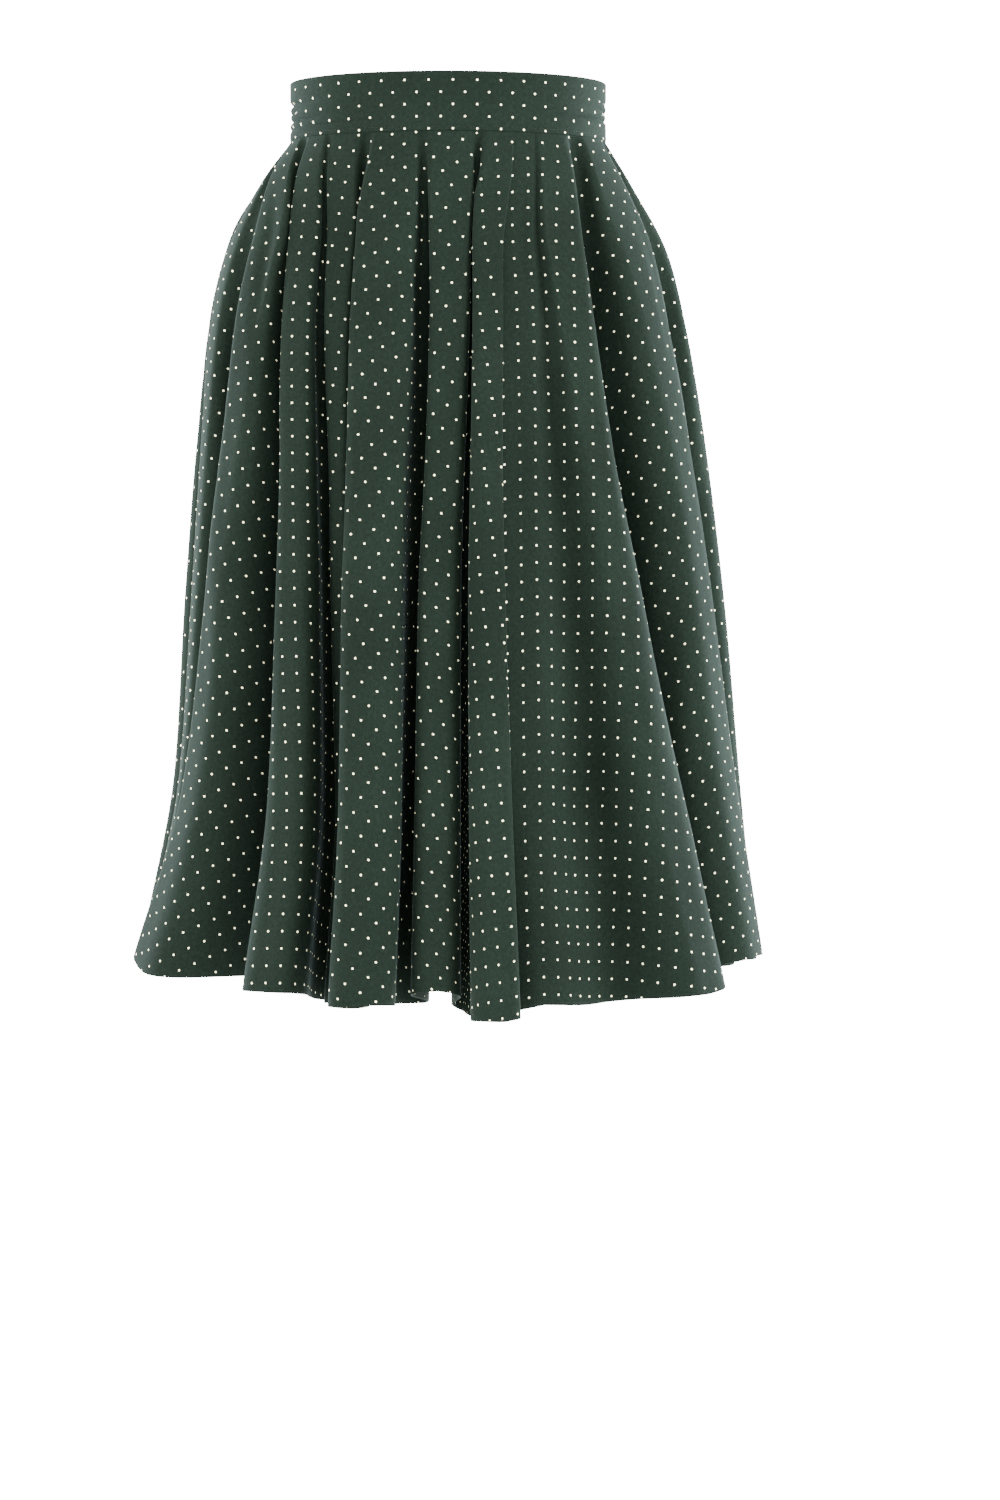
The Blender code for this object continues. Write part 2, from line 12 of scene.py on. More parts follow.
import bpy
import numpy as np
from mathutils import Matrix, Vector


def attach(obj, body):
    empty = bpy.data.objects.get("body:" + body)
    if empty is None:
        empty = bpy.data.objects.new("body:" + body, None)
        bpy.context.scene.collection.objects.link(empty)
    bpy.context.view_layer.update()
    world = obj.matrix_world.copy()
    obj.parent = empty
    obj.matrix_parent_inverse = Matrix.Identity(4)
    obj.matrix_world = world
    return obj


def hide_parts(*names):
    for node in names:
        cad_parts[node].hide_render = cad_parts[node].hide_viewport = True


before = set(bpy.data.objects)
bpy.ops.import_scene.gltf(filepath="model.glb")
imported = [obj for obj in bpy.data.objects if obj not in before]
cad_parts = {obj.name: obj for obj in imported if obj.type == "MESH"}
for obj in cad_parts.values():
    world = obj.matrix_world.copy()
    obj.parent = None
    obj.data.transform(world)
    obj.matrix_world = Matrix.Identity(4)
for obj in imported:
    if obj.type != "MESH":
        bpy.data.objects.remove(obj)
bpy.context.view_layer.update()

# %% [markdown]
# ## Sizes
#
# The cloth's sizes are those of the cut: a ring between two circles. The tables say how far the
# outermost folds reach, and where each fold lies in the cut circle and round the wearer. They are
# the ones that the skirt's solids are made from, so the shown cloth lies on its solids.

# %% Sizes
BAND_HEIGHT = 0.045
BAND_WALL = 0.0020
WAIST_HALF_WIDTH = 0.1245
WAIST_HALF_DEPTH = 0.0950
BAND_SLIT = 0.0016
SEAM_Z = -BAND_HEIGHT / 2

CLOTH_LENGTH = 0.676
CLOTH_THICKNESS = 0.0007
WAIST_SEAM_GAP = 0.0008
CENTRE_FRONT_TURN = math.radians(-11.3)

# How far a wall reaches along the girth, over its length: the least for the whole wall, and the
# least for its bent part, so that the two sides of a fold don't touch
TIGHTEST_ADVANCE = 0.24
CLOSEST_SIDES = 0.21
# The most that the cut may be squeezed where a fold is that tight
MOST_SQUEEZE = 1.9
# Distance down at which the valleys have moved by their shift_mid
LEAN_GROWS_OVER = 0.30
# The least share of its cut length that a line of cloth falls by
STEEPEST_FALL = 0.15
HALVINGS = 24
SHALLOW = 1e-6

HEM_DEPTH = 0.020
HEM_EXTRA = 0.0007

DOT_PITCH = 0.0132
DOT_RADIUS = 0.00079
DOT_PHASE = 0.943


class Girth(NamedTuple):
    """How far the outermost folds reach from the axis, at a distance down the cloth."""
    down: float
    to_right: float
    to_left: float
    front: float
    back: float


GIRTHS = (
    Girth(0.000, WAIST_HALF_WIDTH, WAIST_HALF_WIDTH, WAIST_HALF_DEPTH, WAIST_HALF_DEPTH),
    Girth(0.042, 0.1490, 0.1465, 0.104, 0.111),
    Girth(0.108, 0.1785, 0.1770, 0.120, 0.134),
    Girth(0.165, 0.1920, 0.1905, 0.130, 0.148),
    Girth(0.256, 0.2020, 0.2065, 0.151, 0.166),
    Girth(0.385, 0.2130, 0.2235, 0.175, 0.188),
    Girth(0.525, 0.2240, 0.2385, 0.200, 0.211),
    Girth(CLOTH_LENGTH, 0.2575, 0.2590, 0.228, 0.236),
)


class Fold(NamedTuple):
    """One outward fold. Angles are in degrees, from centre front towards the wearer's left.

    flat_*: the place in the cut circle that makes the fold's crest, at the hips and the hem
    seat_*: where round the wearer the crest hangs, at the hips, half way and the hem
    setback: how far the crest stands back from the girth, as a share of the folds' depth
    shift_*: how far the valley after it moves on, as a share of the space between the crests
    drop: how much lower than its cut length the cloth hangs here at the hem, in metres
    """
    flat_hip: float
    flat_hem: float
    seat_hip: float
    seat_mid: float
    seat_hem: float
    setback: float
    shift_mid: float
    shift_hem: float
    drop: float


# The share of the wall that lies flat at the crests, at distances down the cloth
PLATEAUS = ((0.0, 0.60), (0.06, 0.48), (0.14, 0.28), (0.30, 0.11), (CLOTH_LENGTH, 0.08))
HIP_DOWN = 0.10
MID_DOWN = 0.38
FOLDS = (
    Fold(-163.0, -160.0, -168.0, -170.0, -173.0, 0.40, 0.00, 0.00, 0.005),
    Fold(-147.0, -145.0, -151.0, -151.0, -152.0, 0.00, -0.15, -0.15, 0.010),
    Fold(-129.0, -128.0, -132.0, -130.0, -130.0, 0.15, -0.10, -0.10, 0.000),
    Fold(-106.0, -109.0, -106.0, -95.0, -104.0, 0.05, 0.00, 0.00, 0.000),
    Fold(-80.0, -86.5, -79.0, -77.0, -85.0, 0.12, 0.00, 0.00, 0.000),
    Fold(-64.0, -73.0, -55.0, -60.0, -72.0, 0.00, 0.32, 0.32, 0.000),
    Fold(-45.0, -47.0, -41.0, -36.0, -34.0, 0.12, 0.15, 0.15, -0.002),
    Fold(-33.0, -31.0, -31.0, -27.0, -24.5, 0.60, 0.10, 0.10, 0.000),
    Fold(-9.0, -14.0, -17.0, -18.5, -17.0, 0.00, 0.30, 0.07, 0.005),
    Fold(14.0, 3.0, 1.0, -2.0, -2.0, 0.28, 0.05, 0.00, -0.001),
    Fold(36.0, 38.5, 12.0, 9.8, 9.5, 0.00, -0.55, -0.25, 0.015),
    Fold(44.0, 45.0, 20.5, 18.0, 18.5, 0.42, 0.00, 0.00, 0.000),
    Fold(52.8, 57.0, 29.5, 37.0, 50.5, 0.00, -0.35, -0.35, 0.004),
    Fold(84.0, 88.0, 62.0, 67.0, 74.0, 0.05, -0.10, -0.10, -0.016),
    Fold(101.0, 105.5, 88.5, 93.0, 104.0, 0.05, 0.00, 0.00, 0.000),
    Fold(122.0, 122.0, 111.0, 114.0, 117.0, 0.00, 0.00, 0.00, 0.010),
    Fold(139.0, 136.0, 128.0, 129.0, 128.0, 0.45, 0.15, 0.15, 0.005),
    Fold(155.0, 158.0, 147.0, 148.0, 148.0, 0.00, 0.20, 0.20, 0.000),
    Fold(178.0, 180.0, 172.0, 172.0, 170.0, 0.05, 0.10, 0.10, 0.000),
)

# %% [markdown]
# ## The drape
#
# Each ring of the circle is longer than the girth of the outermost folds there, so it runs in
# and out. A strip that is pushed together endways bends in a sine-generated curve: the direction
# of the wall swings as `swing * sin(phase)` along its length. Its integrals have closed forms in
# Bessel functions, so no simulation is needed, the ring keeps its length, and each fold can be
# placed by hand. A cloth simulation would give folds of its own choosing.

# %% Curves


def through(x, stations, values):
    """A smooth curve through a few stations that never overshoots them.

    Cubic Hermite pieces. The slope at an inner station is the harmonic mean of the rises on
    both sides where they have one sign, and 0 where they differ.
    """
    stations = np.asarray(stations, float)
    values = np.asarray(values, float)
    step = np.diff(stations)
    rise = np.diff(values) / step
    slope = np.empty_like(values)
    slope[0] = rise[0]
    slope[-1] = rise[-1]
    product = rise[:-1] * rise[1:]
    total = rise[:-1] + rise[1:]
    same_way = product > 0
    slope[1:-1] = np.where(same_way, 2 * product / np.where(same_way, total, 1.0), 0.0)
    i = np.clip(np.searchsorted(stations, x) - 1, 0, len(step) - 1)
    t = np.clip((x - stations[i]) / step[i], 0.0, 1.0)
    start = (1 + 2 * t) * (1 - t) ** 2 * values[i] + t * (1 - t) ** 2 * step[i] * slope[i]
    end = t * t * (3 - 2 * t) * values[i + 1] + t * t * (t - 1) * step[i] * slope[i + 1]
    return start + end


def smooth(x, low, high):
    """0 below low, 1 above high, and 3 t^2 - 2 t^3 between them."""
    t = np.clip((x - low) / (high - low), 0.0, 1.0)
    return t * t * (3 - 2 * t)


QUADRATURE = (np.arange(32) + 0.5) * math.pi / 32


def bessel(order, swing):
    """The Bessel function J of an order, as the mean of cos(order t - swing sin t)."""
    swing = np.asarray(swing, float)[..., None]
    return np.cos(order * QUADRATURE - swing * np.sin(QUADRATURE)).mean(-1)


def depth_share(swing):
    """Depth of a half wave over its length: the mean of sin(swing sin t)."""
    swing = np.asarray(swing, float)[..., None]
    return np.sin(swing * np.sin(QUADRATURE)).mean(-1)


SWINGS = np.linspace(0.0, 2.9, 291)
ADVANCES = bessel(0, SWINGS)


def swing_for(advance_share):
    """The swing of direction at which a strip's ends come this close, over its length."""
    return np.interp(-advance_share, -ADVANCES, SWINGS)


# %% The girth round the folds
REACH_BLEND = 3


def girth_point(seat, down):
    """The place on the girth at a seat angle, as x and y.

    It is an ellipse whose half width and half depth pass from one side's reach to the other's
    by the tanh of the place across.
    """
    rows = np.array(GIRTHS)
    reach = [through(down, rows[:, 0], rows[:, column]) for column in range(1, 5)]
    side = 0.5 + 0.5 * np.tanh(REACH_BLEND * np.sin(seat))
    end = 0.5 + 0.5 * np.tanh(REACH_BLEND * np.cos(seat))
    half_width = reach[0] * (1 - side) + reach[1] * side
    half_depth = reach[3] * (1 - end) + reach[2] * end
    return half_width * np.sin(seat), -half_depth * np.cos(seat)


def girth_normal(seat, down, step=0.001):
    """The outward normal of the girth at a seat angle."""
    x0, y0 = girth_point(seat - step, down)
    x1, y1 = girth_point(seat + step, down)
    length = np.hypot(x1 - x0, y1 - y0)
    return (y1 - y0) / length, -(x1 - x0) / length


SEATS = np.linspace(-1.6 * math.pi, 1.6 * math.pi, 1601)


def girth_lengths(down):
    """Length along the girth up to each angle in SEATS."""
    x, y = girth_point(SEATS, np.full_like(SEATS, down))
    return np.concatenate([[0.0], np.cumsum(np.hypot(np.diff(x), np.diff(y)))])


WAIST_LENGTHS = girth_lengths(0.0)
WAIST_GIRTH = float(np.interp(math.pi, SEATS, WAIST_LENGTHS)
                    - np.interp(-math.pi, SEATS, WAIST_LENGTHS))
WAIST_RADIUS = WAIST_GIRTH / (2 * math.pi)
HEM_RADIUS = WAIST_RADIUS + CLOTH_LENGTH
print(f"waist {WAIST_GIRTH:.3f} m, hem {2 * math.pi * HEM_RADIUS:.2f} m round")


def waist_seat(flat):
    """Where round the waist a flat angle is sewn on: the same length along both seams."""
    centre_front = np.interp(CENTRE_FRONT_TURN, SEATS, WAIST_LENGTHS)
    return np.interp(centre_front + flat * WAIST_RADIUS, WAIST_LENGTHS, SEATS)


# %% The folds of one ring


def wrap(column):
    """A row per fold, with the last fold repeated before the first and the first after."""
    return np.concatenate([column[-1:], column, column[:1]])


def fold_row(down):
    """Crests at one distance down the cloth: flat angle and seat angle, once round and on."""
    table = np.array(FOLDS)
    share = through(down, (0.0, HIP_DOWN, CLOTH_LENGTH), (0.0, 0.0, 1.0))
    flat = np.radians(table[:, 0] * (1 - share) + table[:, 1] * share)
    stations = (0.0, HIP_DOWN, MID_DOWN, CLOTH_LENGTH)
    seat = np.empty_like(flat)
    for row, fold in enumerate(FOLDS):
        at_waist = waist_seat(math.radians(fold.flat_hip))
        lower = np.radians((fold.seat_hip, fold.seat_mid, fold.seat_hem))
        seat[row] = through(down, stations, np.concatenate([[at_waist], lower]))
    turn = np.zeros(len(FOLDS) + 2)
    turn[0] = -2 * math.pi
    turn[-1] = 2 * math.pi
    return wrap(flat) + turn, wrap(seat) + turn


class Ring(NamedTuple):
    """The folds at one distance down the cloth: a value per crest, or per space after it."""
    crest_flat: np.ndarray
    crest_at: np.ndarray
    lengths: np.ndarray
    cloth: np.ndarray
    squeeze: np.ndarray
    plateau: float
    level: np.ndarray
    bottom: np.ndarray
    reach: np.ndarray
    fall: np.ndarray
    swing: np.ndarray
    short: np.ndarray


def fold_side(length, room, plateau):
    """One side of a fold: how far its wall swings, how deep it goes, and what it falls short.

    The wall has this length, and room along the girth from the crest to the valley. The room
    is less than nothing where the valley is tucked back under the crest. Where there is too
    much room, the wall is taut, and what it falls short is spread over it as a little stretch.
    """
    swing = swing_for((room / length - plateau) / (1 - plateau))
    depth = length * (1 - plateau) * depth_share(swing)
    short = room - length * (plateau + (1 - plateau) * bessel(0, swing))
    return swing, depth, short


def fold_ring(down):
    """Work out the folds of one ring from its cut length and the room along the girth.

    cloth is the wall's length between two crests, squeeze how much longer the cut cloth is,
    plateau the share of the wall that lies flat at the crests, level and bottom how far each
    crest and valley stands back, and reach how far along the girth the valley lies from the
    crest before it. fall is the share of the wall on the way in, found by halving: both sides,
    with the lengths they have, come to the same bottom. swing and short have a row for the
    way in and a row for the way out.
    """
    crest_flat, crest_seat = fold_row(down)
    lengths = girth_lengths(down)
    crest_at = np.interp(crest_seat, SEATS, lengths)
    advance = np.diff(crest_at)
    cut = np.diff(crest_flat) * (WAIST_RADIUS + down)
    plateau = float(through(down, *zip(*PLATEAUS)))
    tightest = max(TIGHTEST_ADVANCE, plateau + (1 - plateau) * CLOSEST_SIDES)
    cloth = np.minimum(cut, advance / tightest)
    squeeze = np.minimum(cut / cloth, MOST_SQUEEZE)
    even_depth = fold_side(cloth / 2, advance / 2, plateau)[1]
    level = wrap(np.array([fold.setback for fold in FOLDS])) * even_depth[1:].mean()
    lean = [through(down, (0.0, LEAN_GROWS_OVER, CLOTH_LENGTH),
                    (0.0, fold.shift_mid, fold.shift_hem)) for fold in FOLDS]
    reach = advance * (0.5 + wrap(np.array(lean))[:-1])
    low = reach / np.maximum(cloth, advance)
    high = 1 - (advance - reach) / np.maximum(cloth, advance)
    for _ in range(HALVINGS):
        fall = (low + high) / 2
        before = level[:-1] + fold_side(cloth * fall, reach, plateau)[1]
        after = level[1:] + fold_side(cloth * (1 - fall), advance - reach, plateau)[1]
        low = np.where(before < after, fall, low)
        high = np.where(before < after, high, fall)
    way_in = fold_side(cloth * fall, reach, plateau)
    way_out = fold_side(cloth * (1 - fall), advance - reach, plateau)
    bottom = (level[:-1] + way_in[1] + level[1:] + way_out[1]) / 2
    swing = np.stack([way_in[0], way_out[0]])
    short = np.stack([way_in[2], way_out[2]])
    return Ring(crest_flat, crest_at, lengths, cloth, squeeze, plateau, level, bottom, reach,
                fall, swing, short)


def drape_ring(flat, down):
    """Plan places of the wall at one distance down the cloth, for an array of flat angles.

    The wall lies flat for its plateau at each crest. Between them, with direction
    swing * sin(phase) and phase growing evenly along the wall:
    along = J0 phase + J2 sin(2 phase) + J4/2 sin(4 phase), and
    sunk = 2 (J1 (1 - cos phase) + J3/3 (1 - cos 3 phase) + J5/5 (1 - cos 5 phase)),
    both times the wall's length over pi.
    """
    flat = (flat + math.pi) % (2 * math.pi) - math.pi
    (crest_flat, crest_at, lengths, cloth, squeeze, plateau, level, bottom, reach, fall,
     swing, short) = fold_ring(down)
    i = np.clip(np.searchsorted(crest_flat, flat, side="right") - 1, 0, len(cloth) - 1)
    share = (flat - crest_flat[i]) / (crest_flat[i + 1] - crest_flat[i])
    inward = share < fall[i]
    side = np.where(inward, 0, 1)
    part = np.where(inward, fall[i], 1 - fall[i])
    from_crest = np.where(inward, share, 1 - share) / part
    wall = from_crest + (squeeze[i] - 1) * from_crest * (1 - from_crest)
    dip = np.clip((wall - plateau) / (1 - plateau), 0.0, 1.0)
    phase = math.pi * np.where(inward, dip, 1 - dip)
    half = cloth[i] * part * (1 - plateau) / math.pi
    swing = swing[side, i]
    j = [bessel(order, swing) for order in range(6)]
    along = half * (j[0] * phase + j[2] * np.sin(2 * phase) + j[4] / 2 * np.sin(4 * phase))
    sunk = 2 * half * (j[1] * (1 - np.cos(phase)) + j[3] / 3 * (1 - np.cos(3 * phase))
                       + j[5] / 5 * (1 - np.cos(5 * phase)))
    on_plateau = np.minimum(wall, plateau)
    flat_part = cloth[i] * part * np.where(inward, on_plateau, plateau - on_plateau)
    stretched = short[side, i] * np.where(inward, wall, 1 - wall)
    along = np.where(inward, 0.0, reach[i]) + along + flat_part + stretched

    depth = half * math.pi * depth_share(swing)
    sunk_share = (sunk + SHALLOW * (1 - np.cos(phase)) / 2) / (depth + SHALLOW)
    sunk_share = np.where(inward, sunk_share, 1 - sunk_share)
    crest = np.where(inward, level[i], level[i + 1])
    inset = crest + (bottom[i] - crest) * sunk_share

    seat = np.interp(crest_at[i] + along, lengths, SEATS)
    downs = np.full_like(seat, down)
    x, y = girth_point(seat, downs)
    normal_x, normal_y = girth_normal(seat, downs)
    return np.stack([x - normal_x * inset, y - normal_y * inset], axis=-1)


FINE_FLATS = np.linspace(-math.pi, math.pi, 1441)
FINE_DOWNS = np.linspace(0.0, CLOTH_LENGTH, 105)


def falls():
    """How far below the seam the cloth hangs, over a fine grid of distances and flat angles.

    Each line down the cloth keeps its cut length, and a little more where the fold has
    dropped, so what it spends on going outwards it loses in height.
    """
    plan = np.array([drape_ring(FINE_FLATS, down) for down in FINE_DOWNS])
    step = np.diff(FINE_DOWNS)[:, None]
    outwards = np.linalg.norm(np.diff(plan, axis=0), axis=-1) / step
    crest_flat = fold_row(CLOTH_LENGTH)[0]
    drops = wrap(np.array([fold.drop for fold in FOLDS]))
    drawn = 1 + np.interp(FINE_FLATS, crest_flat, drops) / CLOTH_LENGTH
    fall = np.sqrt(np.maximum(drawn ** 2 - outwards ** 2, STEEPEST_FALL ** 2)) * step
    return np.vstack([np.zeros_like(FINE_FLATS), np.cumsum(fall, axis=0)])


FALLS = falls()


def drape(flats, downs):
    """The draped cloth as an array of rows by columns by xyz, from a row of flat angles each."""
    rows = []
    for flat, down in zip(flats, downs):
        i = min(int(np.searchsorted(FINE_DOWNS, down, side="right")) - 1, len(FINE_DOWNS) - 2)
        share = (down - FINE_DOWNS[i]) / (FINE_DOWNS[i + 1] - FINE_DOWNS[i])
        turned = (flat + math.pi) % (2 * math.pi) - math.pi
        fall = np.interp(turned, FINE_FLATS, FALLS[i] * (1 - share) + FALLS[i + 1] * share)
        height = SEAM_Z - WAIST_SEAM_GAP - fall
        rows.append(np.column_stack([drape_ring(flat, down), height]))
    return np.array(rows)


def waist_line(flat, z):
    """Places on the middle of the band's wall, for an array of flat angles at one height."""
    seat = waist_seat(np.asarray(flat, float))
    x, y = girth_point(seat, np.zeros_like(seat))
    return np.stack([x, y, np.full_like(x, z)], axis=-1)


# %% [markdown]
# ## Mesh helpers
#
# A cloth piece is a grid of points with a grid behind it, joined round the rim. A Solidify
# modifier could give the wall, but two grids let the hem be thicker than the rest. The UV map
# holds the place of each point in the cut cloth, in metres, so the print and the weave follow
# the cut.

# %% Mesh helpers


def grid_normals(points):
    """Unit normals of a grid of rows going down and columns going to the wearer's left."""
    down = np.gradient(points, axis=0)
    across = np.gradient(points, axis=1)
    normals = np.cross(down, across)
    return normals / np.linalg.norm(normals, axis=-1, keepdims=True)


def grid_quads(index):
    """Corner numbers of a grid's faces, wound so that they look outwards."""
    corners = [index[:-1, :-1], index[1:, :-1], index[1:, 1:], index[:-1, 1:]]
    return np.stack([corner.ravel() for corner in corners], axis=1)


def add_mesh(name, vertices, faces, material, uv=None, values=None, smooth_faces=True):
    """A mesh object from arrays, with a UV place and named values for each vertex."""
    mesh = bpy.data.meshes.new(name)
    mesh.vertices.add(len(vertices))
    mesh.vertices.foreach_set("co", np.asarray(vertices, np.float32).ravel())
    sides = faces.shape[1]
    mesh.loops.add(faces.size)
    mesh.loops.foreach_set("vertex_index", faces.ravel().astype(np.int32))
    mesh.polygons.add(len(faces))
    mesh.polygons.foreach_set("loop_start", np.arange(0, faces.size, sides, dtype=np.int32))
    mesh.polygons.foreach_set("use_smooth", np.full(len(faces), smooth_faces))
    if uv is not None:
        layer = mesh.uv_layers.new(name="cut")
        layer.data.foreach_set("uv", np.asarray(uv, np.float32)[faces.ravel()].ravel())
    for key, column in (values or {}).items():
        attribute = mesh.attributes.new(key, "FLOAT", "POINT")
        attribute.data.foreach_set("value", np.asarray(column, np.float32))
    mesh.update(calc_edges=True)
    mesh.validate()
    mesh.materials.append(material)
    item = bpy.data.objects.new(name, mesh)
    bpy.context.scene.collection.objects.link(item)
    return item


def shell(name, outer, inner, cut, material):
    """A closed piece of cloth from its outer and its inner grid, with a rim between them."""
    rows, columns = outer.shape[:2]
    front = np.arange(rows * columns).reshape(rows, columns)
    back = front + rows * columns
    faces = [grid_quads(front), grid_quads(back)[:, ::-1]]
    around = np.concatenate([front[0, :-1], front[:-1, -1], front[-1, :0:-1], front[:0:-1, 0]])
    after = np.roll(around, -1)
    faces.append(np.stack([around, after, after + rows * columns, around + rows * columns], 1))
    vertices = np.concatenate([outer.reshape(-1, 3), inner.reshape(-1, 3)])
    uv = np.concatenate([cut.reshape(-1, 2)] * 2)
    inside = np.repeat([0.0, 1.0], rows * columns)
    item = add_mesh(name, vertices, np.concatenate(faces), material, uv, {"inside": inside})
    print(f"{name}: {2 * rows * columns} vertices, {2 * sum(len(f) for f in faces)} triangles")
    return item


def tube(path, radius, sides):
    """Vertices and quads of a round tube along a path, its rings square to the path.

    Each end is closed by a fan of quads over its ring, so sides is an even number.
    """
    path = np.asarray(path, float)
    ahead = np.gradient(path, axis=0)
    ahead = ahead / np.linalg.norm(ahead, axis=1, keepdims=True)
    up = np.where(np.abs(ahead[:, 2:3]) < 0.9, [[0.0, 0.0, 1.0]], [[1.0, 0.0, 0.0]])
    side = np.cross(ahead, up)
    side = side / np.linalg.norm(side, axis=1, keepdims=True)
    top = np.cross(side, ahead)
    turn = np.linspace(0, 2 * math.pi, sides, endpoint=False)
    ring = side[:, None] * np.cos(turn)[None, :, None] + top[:, None] * np.sin(turn)[None, :, None]
    radius = np.broadcast_to(np.asarray(radius, float), (len(path),))
    vertices = path[:, None] + ring * radius[:, None, None]
    index = np.arange(len(path) * sides).reshape(len(path), sides)
    first = np.arange(1, sides - 2, 2)
    start = np.stack([np.zeros_like(first), first, first + 1, first + 2], axis=1)
    end = start[:, ::-1] + index[-1, 0]
    faces = [grid_quads(np.concatenate([index, index[:, :1]], axis=1)), start, end]
    return vertices.reshape(-1, 3), np.concatenate(faces)


def joined(parts):
    """Several (vertices, faces) pairs as one."""
    starts = np.cumsum([0] + [len(vertices) for vertices, _ in parts[:-1]])
    faces = [faces + start for (_, faces), start in zip(parts, starts)]
    return np.concatenate([vertices for vertices, _ in parts]), np.concatenate(faces)


# %% [markdown]
# ## Shader helpers
#
# `Value` lets ordinary arithmetic build the Math nodes, so each formula below reads as it is.

# %% Shader helpers


class Value:
    """One output of a shader node. Arithmetic on it makes Math nodes."""

    def __init__(self, graph, socket):
        self.graph = graph
        self.socket = socket

    def math(self, operation, *others):
        return self.graph.math(operation, self, *others)

    def __add__(self, other):
        return self.math("ADD", other)

    def __sub__(self, other):
        return self.math("SUBTRACT", other)

    def __mul__(self, other):
        return self.math("MULTIPLY", other)

    def __radd__(self, other):
        return self.graph.math("ADD", other, self)

    def __rsub__(self, other):
        return self.graph.math("SUBTRACT", other, self)

    def __rmul__(self, other):
        return self.graph.math("MULTIPLY", other, self)


class Graph:
    """A material's nodes."""

    def __init__(self, name):
        self.material = bpy.data.materials.new(name)
        self.material.use_nodes = True
        self.tree = self.material.node_tree
        self.shader = self.tree.nodes["Principled BSDF"]

    def node(self, kind, output=0, inputs=None, **settings):
        """Any node: settings are its properties, inputs its sockets by name or number."""
        node = self.tree.nodes.new(kind)
        for key, value in settings.items():
            setattr(node, key, value)
        for key, value in (inputs or {}).items():
            self.feed(node.inputs[key], value)
        return Value(self, node.outputs[output])

    def feed(self, socket, value):
        if isinstance(value, Value):
            self.tree.links.new(value.socket, socket)
        else:
            socket.default_value = value

    def math(self, operation, *values):
        return self.node("ShaderNodeMath", inputs=dict(enumerate(values)), operation=operation)

    def nearest(self, value):
        """Signed distance to the nearest whole number."""
        return value - self.math("ROUND", value)

    def step(self, value, low, high):
        """A smooth step from 0 at low to 1 at high."""
        return self.node("ShaderNodeMapRange", inputs={"Value": value, 1: low, 2: high},
                         interpolation_type="SMOOTHSTEP")

    def mix(self, share, first, second):
        return self.node("ShaderNodeMix", output=2, data_type="RGBA",
                         inputs={0: share, 6: first, 7: second})

    def noise(self, vector, scale, detail=2.0, roughness=0.5):
        return self.node("ShaderNodeTexNoise", inputs={
            "Vector": vector, "Scale": scale, "Detail": detail, "Roughness": roughness})

    def vector(self, x, y):
        return self.node("ShaderNodeCombineXYZ", inputs={0: x, 1: y})

    def cut_place(self):
        """The place in the cut cloth: as a vector, and its two coordinates in metres."""
        cut = self.node("ShaderNodeUVMap", uv_map="cut")
        split = self.node("ShaderNodeSeparateXYZ", inputs={0: cut})
        return cut, split, Value(self, split.socket.node.outputs[1])

    def object_place(self):
        """The place in the object's own coordinates, in metres."""
        return self.node("ShaderNodeTexCoord", output=3)

    def set(self, **sockets):
        """Fixed values on the shader's own sockets, with _ for a space in their names."""
        for key, value in sockets.items():
            self.shader.inputs[key.replace("_", " ")].default_value = value

    def link(self, name, value):
        self.feed(self.shader.inputs[name], value)

    def bump(self, height, strength, distance):
        """Tilt the shader's normal by a height from 0 to 1, which stands for this distance."""
        self.link("Normal", self.node("ShaderNodeBump", inputs={
            "Strength": strength, "Distance": distance, "Height": height}))


# %% [markdown]
# ## Cloth
#
# A brushed cotton, so it has a soft nap that catches light at grazing angles, and a small
# square lattice of printed dots, turned 45 degrees to the grain. A picture of the print could be
# laid on, but a formula stays sharp and follows the cut. With `p` the pitch,
# `a = (u + v) / (p sqrt 2)` and `b = (u - v) / (p sqrt 2)` are whole numbers at each dot. The
# threads are noise drawn out along both grains, and the nap and the wear are softer noise.

# %% Cloth material
CLOTH_GREEN = (0.0017, 0.0041, 0.0027, 1.0)
CLOTH_GREEN_WORN = (0.0044, 0.0085, 0.0060, 1.0)
INSIDE_GREEN = (0.0046, 0.0082, 0.0060, 1.0)
DOT_CREAM = (0.900, 0.870, 0.600, 1.0)
DOT_CREAM_WORN = (0.78, 0.75, 0.50, 1.0)
DOT_RAGGED = 0.00022
DOT_SOFT = 0.00012
INSIDE_PALER = 0.6
INSIDE_DOTS_LOST = 0.85

# Cells of noise in a metre
RAGGED_CELLS = 900.0
THREAD_CELLS_ACROSS = 2600.0
THREAD_CELLS_ALONG = 420.0
NAP_CELLS = 320.0
WEAR_CELLS = 9.0


